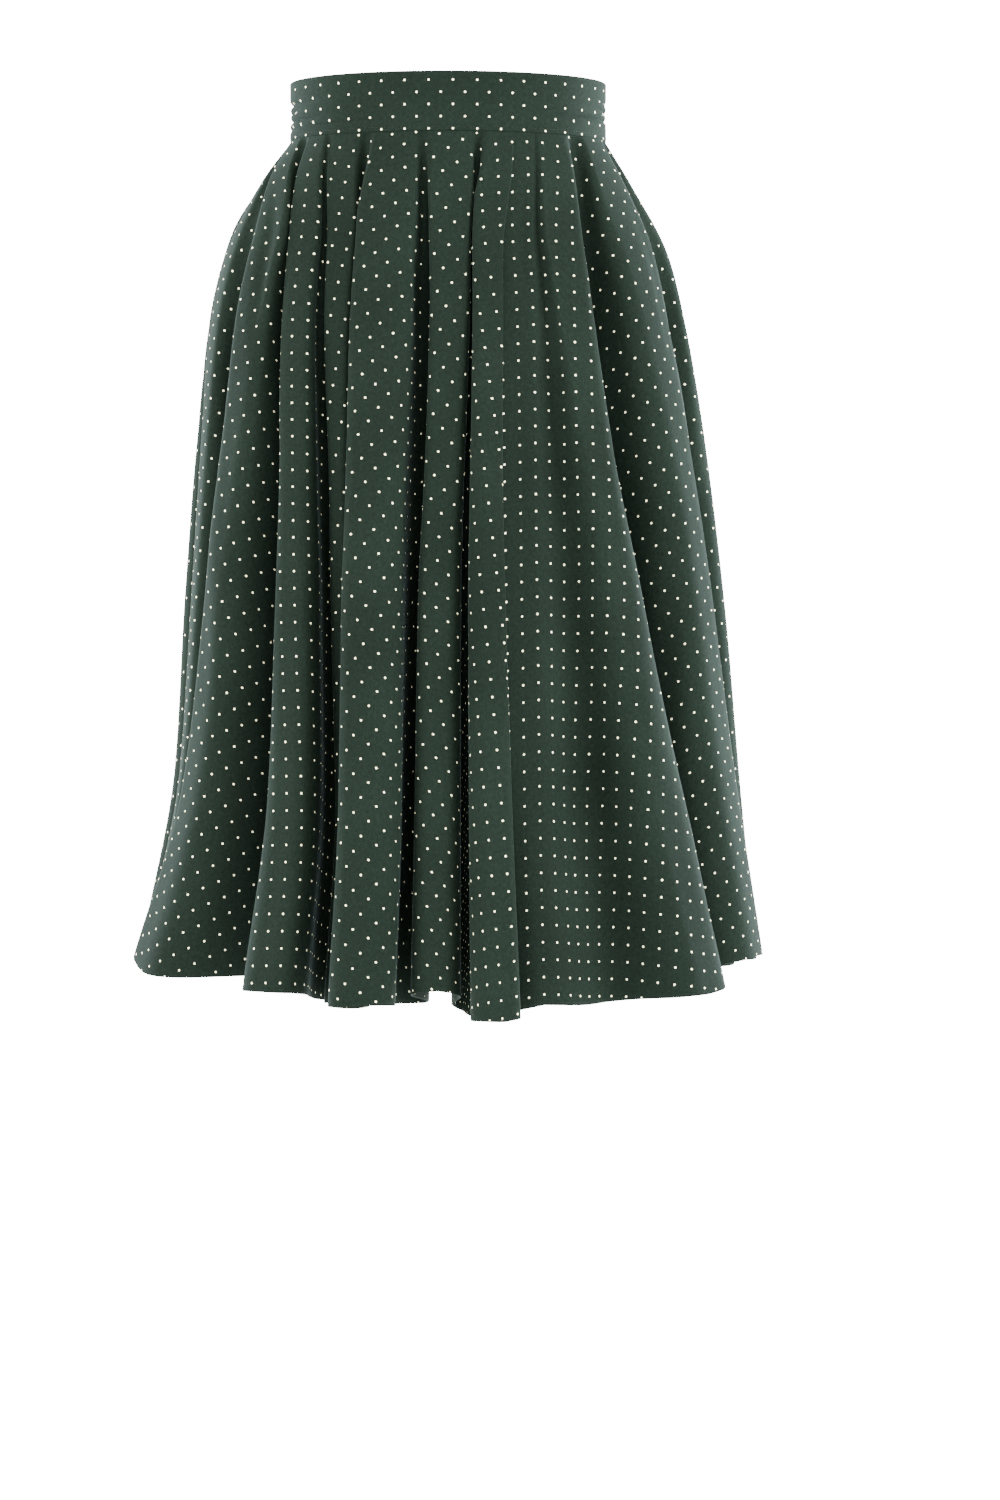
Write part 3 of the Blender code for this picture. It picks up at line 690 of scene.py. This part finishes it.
def cloth_material(name):
    g = Graph(name)
    cut, u, v = g.cut_place()
    inside = g.node("ShaderNodeAttribute", output=2, attribute_name="inside")

    diagonal = 1 / (math.sqrt(2) * DOT_PITCH)
    across = g.nearest((u + v) * diagonal - DOT_PHASE)
    along = g.nearest((u - v) * diagonal)
    distance = g.math("SQRT", across * across + along * along) * DOT_PITCH
    ragged = g.noise(cut, RAGGED_CELLS) - 0.5
    distance = distance + ragged * DOT_RAGGED
    dot = 1.0 - g.step(distance, DOT_RADIUS - DOT_SOFT, DOT_RADIUS + DOT_SOFT)

    warp = g.noise(g.vector(u * THREAD_CELLS_ACROSS, v * THREAD_CELLS_ALONG), 1.0, 1.0)
    weft = g.noise(g.vector(u * THREAD_CELLS_ALONG, v * THREAD_CELLS_ACROSS), 1.0, 1.0)
    threads = warp * 0.5 + weft * 0.5
    nap = g.noise(cut, NAP_CELLS, 3.0, 0.6)
    wear = g.noise(cut, WEAR_CELLS, 2.0)
    tone = g.step(threads * 0.55 + nap * 0.30 + wear * 0.25, 0.42, 0.70)

    green = g.mix(tone, CLOTH_GREEN, CLOTH_GREEN_WORN)
    green = g.mix(inside * INSIDE_PALER, green, INSIDE_GREEN)
    shown = dot * (1.0 - inside * INSIDE_DOTS_LOST)
    cream = g.mix(tone * 0.25, DOT_CREAM, DOT_CREAM_WORN)
    g.link("Base Color", g.mix(shown, green, cream))
    g.link("Roughness", 0.86 - shown * 0.18)
    g.bump(threads * 0.6 + nap * 0.5 + dot * 0.35, 0.55, 0.00025)
    g.set(Sheen_Weight=0.036, Sheen_Roughness=0.30, Sheen_Tint=(0.55, 0.80, 0.80, 1.0),
          Specular_IOR_Level=0.05)
    return g.material


CLOTH = cloth_material("brushed cotton with small dots")
print("cloth nodes", len(CLOTH.node_tree.nodes))

# %% [markdown]
# ## Creases
#
# The drape gives the main folds. Real cloth also has small soft troughs and ridges between them.
# They could be sculpted, but a table keeps each where it is wanted, and easy to move. Each is a
# line between two places in the cut cloth, with a half width and a height. Across it the form is
# `exp(-(d / half width)^2)`, and along it `sin^2`.

# %% Creases


class Crease(NamedTuple):
    """A soft trough (height below 0) or ridge. Angles in degrees, lengths in metres."""
    flat_top: float
    down_top: float
    flat_bottom: float
    down_bottom: float
    half_width: float
    height: float


CREASES = (
    Crease(-63.5, 0.03, -61.0, 0.22, 0.007, -0.0026),
    Crease(-67.5, 0.20, -66.0, 0.52, 0.012, 0.0022),
    Crease(-49.5, 0.03, -47.5, 0.24, 0.006, -0.0020),
    Crease(-44.0, 0.16, -43.5, 0.42, 0.007, -0.0020),
    Crease(-22.0, 0.01, -20.0, 0.26, 0.006, -0.0020),
    Crease(-11.5, 0.03, -7.5, 0.34, 0.008, -0.0020),
    Crease(-2.0, 0.02, 0.0, 0.18, 0.005, -0.0015),
    Crease(24.0, 0.02, 27.0, 0.30, 0.006, -0.0016),
    Crease(43.5, 0.01, 43.3, 0.16, 0.007, -0.0018),
    Crease(53.4, 0.01, 48.5, 0.30, 0.008, -0.0024),
    Crease(50.5, 0.38, 51.0, 0.60, 0.008, -0.0016),
    Crease(48.5, 0.46, 47.5, 0.66, 0.007, -0.0015),
    Crease(54.5, 0.34, 56.5, 0.56, 0.010, 0.0016),
    Crease(62.0, 0.02, 60.0, 0.30, 0.007, -0.0020),
    Crease(72.0, 0.04, 70.0, 0.50, 0.009, 0.0018),
    Crease(86.5, 0.04, 85.3, 0.24, 0.007, -0.0024),
    Crease(81.0, 0.26, 80.0, 0.58, 0.010, -0.0018),
    Crease(97.5, 0.10, 97.5, 0.40, 0.008, 0.0018),
    Crease(108.0, 0.02, 110.0, 0.34, 0.007, -0.0022),
    Crease(128.0, 0.03, 127.0, 0.42, 0.008, 0.0018),
    Crease(149.0, 0.02, 148.0, 0.30, 0.006, -0.0018),
    Crease(166.0, 0.05, 168.0, 0.46, 0.008, -0.0020),
    Crease(-172.0, 0.04, -171.0, 0.38, 0.007, 0.0016),
    Crease(-154.0, 0.02, -152.0, 0.34, 0.006, -0.0020),
    Crease(-134.0, 0.04, -135.0, 0.44, 0.008, 0.0018),
    Crease(-112.0, 0.02, -114.0, 0.32, 0.007, -0.0020),
    Crease(-84.0, 0.05, -84.5, 0.40, 0.007, 0.0016),
)


def crease_height(flats, downs):
    """How far the creases move each place of a grid out along its normal."""
    moved = np.zeros_like(flats)
    down = np.broadcast_to(np.asarray(downs)[:, None], flats.shape)
    radius = WAIST_RADIUS + down
    for crease in CREASES:
        t = (down - crease.down_top) / (crease.down_bottom - crease.down_top)
        line = np.radians(crease.flat_top + (crease.flat_bottom - crease.flat_top) * t)
        along = np.sin(np.pi * np.clip(t, 0.0, 1.0)) ** 2
        distance = (flats - line) * radius / crease.half_width
        moved += crease.height * along * np.exp(-distance ** 2)
    return moved


print("creases", len(CREASES))

# %% [markdown]
# ## Skirt panels
#
# Three panels: the front is half of the circle, each back is a quarter. An even grid would cut
# the corners of the folds, so the columns follow the crests and valleys down the cloth and crowd
# there. The lower 20 mm is turned up inside, which makes the edge thicker and stiffer.

# %% Skirt panels
COLUMNS_A_SIDE = 26
CROWDING = 0.35
COLUMN_PHASES = np.linspace(0.0, 1.0, COLUMNS_A_SIDE + 1)[:-1]
COLUMN_PHASES = COLUMN_PHASES - CROWDING * np.sin(4 * math.pi * COLUMN_PHASES) / (4 * math.pi)
FEWEST_AT_SEAM = 4
ROWS = 94
ROWS_UNDER_BAND = (0.0015, 0.0030)

# A seam's edges roll in by SEAM_SINK over SEAM_ROLL, and not in the first SEAM_FADE of length
SEAM_CLEAR = math.radians(1.2)
SEAM_ROLL = 0.0030
SEAM_SINK = 0.0008
SEAM_FADE = 0.02

# The hem's turning begins within HEM_STEP of its line, and the last EDGE_ROUND is rounded
HEM_STEP = 0.0006
EDGE_ROUND = 0.0008
EDGE_ROW = 0.0003
THINNEST_EDGE = 0.02


def turning_points(down):
    """Flat angles of the crests and valleys at one distance down, over more than one turn."""
    ring = fold_ring(down)
    valleys = ring.crest_flat[:-1] + np.diff(ring.crest_flat) * ring.fall
    once = np.column_stack([ring.crest_flat[:-1], valleys])[1:].ravel()
    return np.concatenate([once - 2 * math.pi, once, once + 2 * math.pi])


def panel_columns(start, end, downs):
    """Flat angles of a panel's columns, a row for each distance down the cloth."""
    turns = np.array([turning_points(down) for down in downs])
    inside = (turns > start + SEAM_CLEAR) & (turns < end - SEAM_CLEAR)
    turns = turns[:, inside.all(axis=0)]
    usual = 2 * math.pi / len(FOLDS) / 2
    steps = [max(FEWEST_AT_SEAM, round(abs(side - turn) / usual * len(COLUMN_PHASES)))
             for side, turn in ((start, turns[-1, 0]), (end, turns[-1, -1]))]
    rows = []
    for down, turn in zip(downs, turns):
        first = start + (turn[0] - start) * np.arange(steps[0]) / steps[0]
        last = turn[-1] + (end - turn[-1]) * np.arange(steps[1] + 1) / steps[1]
        inner = [a + (b - a) * COLUMN_PHASES for a, b in zip(turn[:-1], turn[1:])]
        rows.append(np.concatenate([first, *inner, last]))
    return np.array(rows)


def build_panel(name, start, end):
    """One panel between two flat angles, its seam edges rolled in a little."""
    even = np.linspace(0.0, CLOTH_LENGTH, ROWS)
    hem_line = CLOTH_LENGTH - HEM_DEPTH
    downs = np.unique(np.concatenate([
        even, ROWS_UNDER_BAND, [hem_line - HEM_STEP, hem_line + HEM_STEP],
        [CLOTH_LENGTH - EDGE_ROUND, CLOTH_LENGTH - EDGE_ROW]]))
    flats = panel_columns(start, end, downs)
    middle = drape(flats, downs)
    normals = grid_normals(middle)
    radius = WAIST_RADIUS + downs[:, None]
    to_seam = np.minimum(flats - start, end - flats) * radius
    seam = SEAM_SINK * (1 - smooth(to_seam, 0.0, SEAM_ROLL))
    seam *= smooth(downs, 0.0, SEAM_FADE)[:, None]
    out = crease_height(flats, downs) - seam
    middle = middle + normals * out[..., None]
    normals = grid_normals(middle)

    half = np.full_like(flats, CLOTH_THICKNESS / 2)
    in_hem = smooth(downs, hem_line - HEM_STEP, hem_line + HEM_STEP)[:, None]
    edge = np.sqrt(np.clip((CLOTH_LENGTH - downs) / EDGE_ROUND, THINNEST_EDGE, 1.0))[:, None]
    outer = middle + normals * (half * edge)[..., None]
    inner = middle - normals * ((half + HEM_EXTRA * in_hem) * edge)[..., None]
    cut = np.stack([radius * np.sin(flats), radius * np.cos(flats)], axis=-1)
    item = shell(name, outer, inner, cut, CLOTH)
    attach(item, "skirt")
    return item


class Panel(NamedTuple):
    """A panel: the node it is shown for, the flat angles of its seams, the width of its cut."""
    name: str
    node: str
    start: float
    end: float
    width: float


QUARTER = math.pi / 2
PANELS = (
    Panel("front_panel", "skirt_front", -QUARTER, QUARTER, 2 * HEM_RADIUS),
    Panel("back_panel_left", "skirt_back_left", QUARTER, math.pi, HEM_RADIUS),
    Panel("back_panel_right", "skirt_back_right", -math.pi, -QUARTER, HEM_RADIUS),
)
for panel in PANELS:
    piece = build_panel(panel.name, panel.start, panel.end)
    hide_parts(panel.node)

# %% [markdown]
# ## Waistband
#
# One straight strip, folded along its top, with a stiffener inside. It creases into level
# wrinkles at the sides, where the body bends, and stays smooth in front. It could be bent from a
# flat strip with a Curve modifier, but a grid along the waist's own line keeps the print's scale
# and lets each wrinkle be placed.

# %% Waistband


class Wrinkle(NamedTuple):
    """A level wrinkle of the band. Seat angles in degrees, the rest in metres."""
    seat_from: float
    seat_to: float
    z: float
    rise: float
    half_height: float
    depth: float


WRINKLES = (
    Wrinkle(-128.0, -44.0, 0.0045, 0.0010, 0.0022, -0.0029),
    Wrinkle(-120.0, -56.0, -0.0020, -0.0010, 0.0019, -0.0031),
    Wrinkle(-124.0, -38.0, -0.0085, 0.0012, 0.0020, -0.0029),
    Wrinkle(-116.0, -20.0, -0.0150, 0.0006, 0.0020, -0.0020),
    Wrinkle(48.0, 124.0, -0.0010, 0.0010, 0.0020, -0.0024),
    Wrinkle(18.0, 122.0, -0.0080, -0.0010, 0.0020, -0.0027),
    Wrinkle(60.0, 118.0, 0.0055, 0.0000, 0.0022, -0.0012),
)
WRINKLE_FADE = 0.004
BAND_COLUMNS = 420
BAND_ROWS = 40
BAND_ROLL = 0.0012
ROLL_ROWS = 6
THINNEST_ROLL = 0.0025

# The band's lower edge goes down over the gap at the seam, and this much over the cloth
SEAM_TUCK = 0.0003
# Where the band's strip lies in the print, across and up
BAND_PRINT_ACROSS = 0.00865
BAND_PRINT_UP = 0.00275


def wrinkle_height(seat, z):
    """How far the wrinkles move each place of the band out along its normal.

    Each runs level, but for one wave of its rise. Its form is sin^2 along it and
    exp(-(d / half height)^2) across.
    """
    moved = np.zeros((len(z), len(seat)))
    for wrinkle in WRINKLES:
        start = math.radians(wrinkle.seat_from)
        end = math.radians(wrinkle.seat_to)
        t = np.clip((seat - start) / (end - start), 0.0, 1.0)
        along = np.sin(math.pi * t) ** 2
        level = wrinkle.z + wrinkle.rise * np.sin(2 * math.pi * t)
        distance = (z[:, None] - level) / wrinkle.half_height
        moved += wrinkle.depth * along * np.exp(-distance ** 2)
    return moved


def build_waistband():
    """The band, round its upper and lower edges, open by the slit at centre back."""
    half_slit = BAND_SLIT / 2 / WAIST_RADIUS
    flat = np.linspace(-math.pi + half_slit, math.pi - half_slit, BAND_COLUMNS + 1)
    top = BAND_HEIGHT / 2
    bottom = -top - WAIST_SEAM_GAP - SEAM_TUCK
    edge = BAND_ROLL * (1 - np.cos(np.linspace(0.0, math.pi / 2, ROLL_ROWS)))
    straight = np.linspace(top - BAND_ROLL, bottom + BAND_ROLL, BAND_ROWS)[1:-1]
    z = np.concatenate([top - edge, straight, bottom + edge[::-1]])
    middle = np.array([waist_line(flat, height) for height in z])
    normals = grid_normals(middle)

    to_edge = np.minimum(top - z, z - bottom)
    rolled = 1 - (1 - np.minimum(to_edge, BAND_ROLL) / BAND_ROLL) ** 2
    half = BAND_WALL / 2 * np.sqrt(np.clip(rolled, THINNEST_ROLL, 1.0))
    out = wrinkle_height(waist_seat(flat), z) * smooth(to_edge, 0.0, WRINKLE_FADE)[:, None]
    middle = middle + normals * out[..., None]
    normals = grid_normals(middle)
    outer = middle + normals * half[:, None, None]
    inner = middle - normals * half[:, None, None]
    cut = np.stack(np.broadcast_arrays((WAIST_RADIUS * flat)[None, :] + BAND_PRINT_ACROSS,
                                       z[:, None] + BAND_PRINT_UP), axis=-1)
    item = shell("waistband_cloth", outer, inner, cut, CLOTH)
    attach(item, "skirt")
    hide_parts("waistband")


build_waistband()

# %% [markdown]
# ## Edge stitching
#
# A row of stitches runs 2 mm above the waist seam, all round, and holds the band's inner layer.
# A bump could draw it, but real thread stands up from the cloth and catches the light, so each
# stitch is a short tube that dips into the cloth at both ends.

# %% Edge stitching
STITCH = 0.0027
STITCH_GAP = 0.0006
STITCH_RADIUS = 0.00019
STITCH_SIDES = 6
STITCH_Z = SEAM_Z + 0.0021
STITCH_END_CLEAR = 0.002
# How far a stitch's middle stands out, and how far its ends go in from there, in radii
STITCH_RISE = 0.6
STITCH_DIP = 2.4

THREAD_DARK = (0.0018, 0.0036, 0.0026, 1.0)
THREAD_LIGHT = (0.0040, 0.0068, 0.0050, 1.0)


def thread_material():
    g = Graph("green thread")
    twist = g.noise(g.object_place(), 4200.0, 1.0)
    g.link("Base Color", g.mix(twist, THREAD_DARK, THREAD_LIGHT))
    g.link("Roughness", 0.55 + twist * 0.2)
    g.set(Sheen_Weight=0.02, Sheen_Roughness=0.4, Specular_IOR_Level=0.1)
    return g.material


def build_stitches():
    """Short tubes one after another round the band, with t from -0.5 to 0.5 along each.

    Its middle line stands out from the wall by radius (rise - dip (2 t)^4), and it thins
    towards its ends by the root of 1 - (2 t)^6.
    """
    sewn = WAIST_GIRTH - BAND_SLIT - 2 * STITCH_END_CLEAR
    count = int(sewn / (STITCH + STITCH_GAP))
    middle = (np.arange(count) - (count - 1) / 2) * (STITCH + STITCH_GAP) / WAIST_RADIUS
    t = np.linspace(-0.5, 0.5, 7)
    flat = middle[:, None] + t[None, :] * STITCH / WAIST_RADIUS
    seat = waist_seat(flat)
    x, y = girth_point(seat, np.zeros_like(seat))
    normal_x, normal_y = girth_normal(seat, np.zeros_like(seat))
    out = BAND_WALL / 2 + STITCH_RADIUS * (STITCH_RISE - STITCH_DIP * (2 * t) ** 4)
    z = np.full_like(x, STITCH_Z)
    paths = np.stack([x + normal_x * out, y + normal_y * out, z], axis=-1)
    thin = STITCH_RADIUS * np.sqrt(np.clip(1 - (2 * t) ** 6, 0.15, 1.0))
    vertices, faces = joined([tube(path, thin, STITCH_SIDES) for path in paths])
    item = add_mesh("edge_stitching", vertices, faces, thread_material())
    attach(item, "skirt")
    print("stitches", count)


build_stitches()

# %% [markdown]
# ## Centre back zip
#
# A concealed zip: the tapes lie inside the seam, with the coil on the side towards the wearer.
# The slider and the pull tab keep their own solids and get an enamel finish. The coil could be an
# array of loops, but one long helix bent along the tapes is what the real coil is.

# %% Zip finishes
TAPE_DARK = (0.0025, 0.0060, 0.0045, 1.0)
TAPE_LIGHT = (0.0070, 0.0140, 0.0110, 1.0)
TAPE_RIB = 0.0009
TAPE_CROSS_RIB = 0.0011
COIL_DARK = (0.0040, 0.0090, 0.0070, 1.0)
COIL_LIGHT = (0.0100, 0.0180, 0.0150, 1.0)
ENAMEL_DARK = (0.0030, 0.0062, 0.0048, 1.0)
ENAMEL_LIGHT = (0.0060, 0.0105, 0.0085, 1.0)
BARE_METAL = (0.034, 0.033, 0.029, 1.0)
# Pointiness from which the enamel begins to be rubbed off an edge, and where it is all off
EDGE_WORN_FROM = 0.66
EDGE_WORN_TO = 0.74


def tape_material():
    """Ribs both ways, as sines of the place on the tape, over a fine noise."""
    g = Graph("zip tape")
    cut, u, v = g.cut_place()
    ribs = g.math("SINE", v * (2 * math.pi / TAPE_RIB))
    cross = g.math("SINE", u * (2 * math.pi / TAPE_CROSS_RIB))
    weave = g.noise(cut, 1500.0, 2.0) * 0.6 + ribs * cross * 0.2
    g.link("Base Color", g.mix(weave, TAPE_DARK, TAPE_LIGHT))
    g.link("Roughness", 0.75 + weave * 0.1)
    g.bump(weave, 0.5, 0.0002)
    g.set(Sheen_Weight=0.02, Sheen_Roughness=0.5, Specular_IOR_Level=0.08)
    return g.material


def coil_material():
    g = Graph("zip coil")
    worn = g.noise(g.object_place(), 900.0, 2.0)
    g.link("Base Color", g.mix(worn, COIL_DARK, COIL_LIGHT))
    g.link("Roughness", 0.32 + worn * 0.15)
    g.set(Specular_IOR_Level=0.2)
    return g.material


def enamel_material(name):
    """Dark enamel with a fine grain, rubbed to the metal on the sharpest edges."""
    g = Graph(name)
    pointy = g.node("ShaderNodeNewGeometry", output=7)
    grain = g.noise(g.object_place(), 700.0, 3.0, 0.6)
    worn = g.step(pointy + grain * 0.06, EDGE_WORN_FROM, EDGE_WORN_TO)
    enamel = g.mix(grain, ENAMEL_DARK, ENAMEL_LIGHT)
    g.link("Base Color", g.mix(worn * 0.6, enamel, BARE_METAL))
    g.link("Metallic", 0.05 + worn * 0.35)
    g.link("Roughness", 0.30 + grain * 0.16)
    g.bump(grain, 0.2, 0.0001)
    g.set(Coat_Weight=0.04, Coat_Roughness=0.3, Specular_IOR_Level=0.12)
    return g.material


for node, name in (("zip_slider", "enamelled slider"), ("zip_pull_tab", "enamelled pull tab")):
    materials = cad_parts[node].data.materials
    materials.clear()
    materials.append(enamel_material(name))

# %% Zip tapes and coil
TAPE_WIDTH = 0.022
TAPE_THICKNESS = 0.00056
TAPE_DEPTH = 0.0022
TAPE_COLUMNS = 25
TAPE_ROWS = 60
TAPE_ROWS_IN_BAND = 8
TAPE_START = 0.012
TAPE_END = 0.170
HINGE_Z = 0.0165
SLIDER_HEIGHT = 0.0085
TAPE_TO_SLIDER = 0.0004
TAPE_TOP = HINGE_Z - SLIDER_HEIGHT / 2 - TAPE_TO_SLIDER
GROOVE_DEPTH = 0.0004
GROOVE_HALF_WIDTH = 0.0006

COIL_BEHIND = 0.0011
COIL_PITCH = 0.00130
COIL_HALF_WIDTH = 0.0017
COIL_HALF_DEPTH = 0.0005
COIL_RADIUS = 0.00028
COIL_SIDES = 6
COIL_END_CLEAR = 0.002
RINGS_A_LOOP = 10


def zip_places(across, downs):
    """Rows of places behind the centre back seam: first down the band, then down the cloth."""
    rows = [waist_line(math.pi + across / WAIST_RADIUS, z)
            for z in np.linspace(TAPE_TOP, SEAM_Z, TAPE_ROWS_IN_BAND)]
    flats = math.pi + across / (WAIST_RADIUS + downs[:, None])
    rows.extend(drape(flats, downs))
    points = np.array(rows)
    return points, grid_normals(points)


def build_tapes(across, lengths, points, normals):
    """Both tapes as one sheet, with a groove between them: exp(-(across / half width)^2)."""
    groove = GROOVE_DEPTH * np.exp(-(across / GROOVE_HALF_WIDTH) ** 2)
    middle = points - normals * (TAPE_DEPTH - groove[None, :, None])
    half = TAPE_THICKNESS / 2
    cut = np.stack(np.broadcast_arrays(across[None, :], lengths[:, None]), axis=-1)
    return shell("zip_tapes", middle + normals * half, middle - normals * half, cut,
                 tape_material())


def build_coil(lengths, line, inward):
    """A flattened helix along a line, on the side towards the wearer.

    With turn growing evenly, it moves across by half width cos(turn) and inwards by
    half depth sin(turn).
    """
    loops = int(lengths[-1] / COIL_PITCH)
    t = np.linspace(COIL_END_CLEAR, lengths[-1] - COIL_END_CLEAR, loops * RINGS_A_LOOP)
    line = np.stack([np.interp(t, lengths, line[:, k]) for k in range(3)], axis=-1)
    inward = np.stack([np.interp(t, lengths, inward[:, k]) for k in range(3)], axis=-1)
    ahead = np.gradient(line, axis=0)
    ahead = ahead / np.linalg.norm(ahead, axis=1, keepdims=True)
    side = np.cross(ahead, inward)
    turn = 2 * math.pi * t / COIL_PITCH
    path = (line + side * (COIL_HALF_WIDTH * np.cos(turn))[:, None]
            + inward * (COIL_HALF_DEPTH * np.sin(turn))[:, None])
    print("coil loops", loops)
    return add_mesh("zip_coil", *tube(path, COIL_RADIUS, COIL_SIDES), coil_material())


def build_zip():
    across = np.linspace(-TAPE_WIDTH / 2, TAPE_WIDTH / 2, TAPE_COLUMNS)
    centre = TAPE_COLUMNS // 2
    points, normals = zip_places(across, np.linspace(TAPE_START, TAPE_END, TAPE_ROWS))
    steps = np.linalg.norm(np.diff(points[:, centre], axis=0), axis=1)
    lengths = np.concatenate([[0], np.cumsum(steps)])
    tapes = build_tapes(across, lengths, points, normals)
    inward = -normals[:, centre]
    coil = build_coil(lengths, points[:, centre] + inward * (TAPE_DEPTH + COIL_BEHIND), inward)
    for item in (tapes, coil):
        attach(item, "skirt")
    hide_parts("zip_tape")


build_zip()

# %% [markdown]
# ## Stage, light and camera
#
# The skirt hangs above a plain pale floor, before a backdrop of the same white. Both could be
# plain white faces, but white faces throw light back up into the folds. So their glow is seen by
# the camera alone, and the skirt is lit by a dim warm surround and by broad lamps: one at each
# side in front, a weaker one in front, and cool ones behind that draw the rims.

# %% Floor and surround
WHITE = (1.0, 1.0, 1.0, 1.0)
BACKDROP_LIGHT = 18.0
FLOOR_Z = -1.09
FLOOR_HALF = 14.0
FLOOR_GREY = (0.86, 0.86, 0.86, 1.0)
FLOOR_PALE = (0.90, 0.90, 0.90, 1.0)
FLOOR_GLOW = 0.9
SURROUND = (1.0, 0.88, 0.74, 1.0)
SURROUND_LIGHT = 1.7


def floor_material():
    """A pale matt floor, mixed with a white glow where the camera looks at it."""
    g = Graph("pale floor")
    tone = g.noise(g.object_place(), 3.0)
    g.link("Base Color", g.mix(tone, FLOOR_GREY, FLOOR_PALE))
    g.set(Roughness=0.9)
    seen = g.node("ShaderNodeLightPath", output=0)
    glow = g.node("ShaderNodeEmission", inputs={"Color": WHITE, "Strength": BACKDROP_LIGHT})
    matt = Value(g, g.shader.outputs[0])
    lit = g.node("ShaderNodeMixShader", inputs={0: seen * FLOOR_GLOW, 1: matt, 2: glow})
    g.feed(g.tree.nodes["Material Output"].inputs["Surface"], lit)
    return g.material


corners = np.array([[-1, -1], [1, -1], [1, 1], [-1, 1]]) * FLOOR_HALF
floor = add_mesh("floor", np.column_stack([corners, np.full(4, FLOOR_Z)]),
                 np.array([[0, 1, 2, 3]]), floor_material(), smooth_faces=False)

world = bpy.data.worlds.new("studio")
bpy.context.scene.world = world
world.use_nodes = True
nodes = world.node_tree.nodes
links = world.node_tree.links
surround = nodes["Background"]
backdrop = nodes.new("ShaderNodeBackground")
for background, colour, strength in ((surround, SURROUND, SURROUND_LIGHT),
                                     (backdrop, WHITE, BACKDROP_LIGHT)):
    background.inputs["Color"].default_value = colour
    background.inputs["Strength"].default_value = strength
light_path = nodes.new("ShaderNodeLightPath")
mix = nodes.new("ShaderNodeMixShader")
links.new(light_path.outputs["Is Camera Ray"], mix.inputs[0])
links.new(surround.outputs[0], mix.inputs[1])
links.new(backdrop.outputs[0], mix.inputs[2])
links.new(mix.outputs[0], nodes["World Output"].inputs["Surface"])

# %% Lamps


class Lamp(NamedTuple):
    """A flat lamp that looks at the skirt's middle. Metres and watts."""
    name: str
    place: tuple
    width: float
    height: float
    power: float
    colour: tuple


LAMPS = (
    Lamp("key", (-3.2, -1.7, 1.3), 2.0, 2.4, 640.0, (0.98, 1.0, 0.98)),
    Lamp("fill", (3.3, -1.5, 1.1), 2.0, 2.4, 740.0, (0.97, 1.0, 0.99)),
    Lamp("front", (0.4, -3.6, 1.4), 1.6, 1.6, 170.0, (1.0, 1.0, 1.0)),
    Lamp("rim left", (-2.6, 1.5, 0.2), 1.2, 2.4, 400.0, (0.80, 0.96, 1.0)),
    Lamp("rim right", (2.6, 1.5, 0.2), 1.2, 2.4, 480.0, (0.80, 0.96, 1.0)),
    Lamp("back", (0.0, 3.0, 1.8), 3.0, 1.6, 130.0, (0.96, 0.98, 1.0)),
)
LAMP_AIM = Vector((0.0, 0.0, -0.35))


def look(item, place, aim):
    """Put a lamp or the camera at a place, looking at another."""
    item.location = place
    item.rotation_euler = (aim - Vector(place)).to_track_quat("-Z", "Y").to_euler()
    bpy.context.scene.collection.objects.link(item)


for lamp in LAMPS:
    data = bpy.data.lights.new(lamp.name, "AREA")
    data.shape = "RECTANGLE"
    data.size = lamp.width
    data.size_y = lamp.height
    data.energy = lamp.power
    data.color = lamp.colour
    look(bpy.data.objects.new(lamp.name, data), lamp.place, LAMP_AIM)
print("lamps", len(LAMPS))

# %% Camera
CAMERA_AWAY = 3.2
EYE_Z = SEAM_Z - 0.325
PIXEL = 0.0008
IMAGE_HEIGHT = 1500
AXIS_LEFT_OF_CENTRE = 51.5
EYE_ABOVE_CENTRE = 199.0
SENSOR = 36.0

camera_data = bpy.data.cameras.new("camera")
camera_data.sensor_fit = "VERTICAL"
camera_data.sensor_height = SENSOR
camera_data.lens = SENSOR * CAMERA_AWAY / (PIXEL * IMAGE_HEIGHT)
camera = bpy.data.objects.new("camera", camera_data)
look(camera, (0.0, -CAMERA_AWAY, EYE_Z),
     Vector((AXIS_LEFT_OF_CENTRE * PIXEL, 0.0, EYE_Z - EYE_ABOVE_CENTRE * PIXEL)))
bpy.context.scene.camera = camera
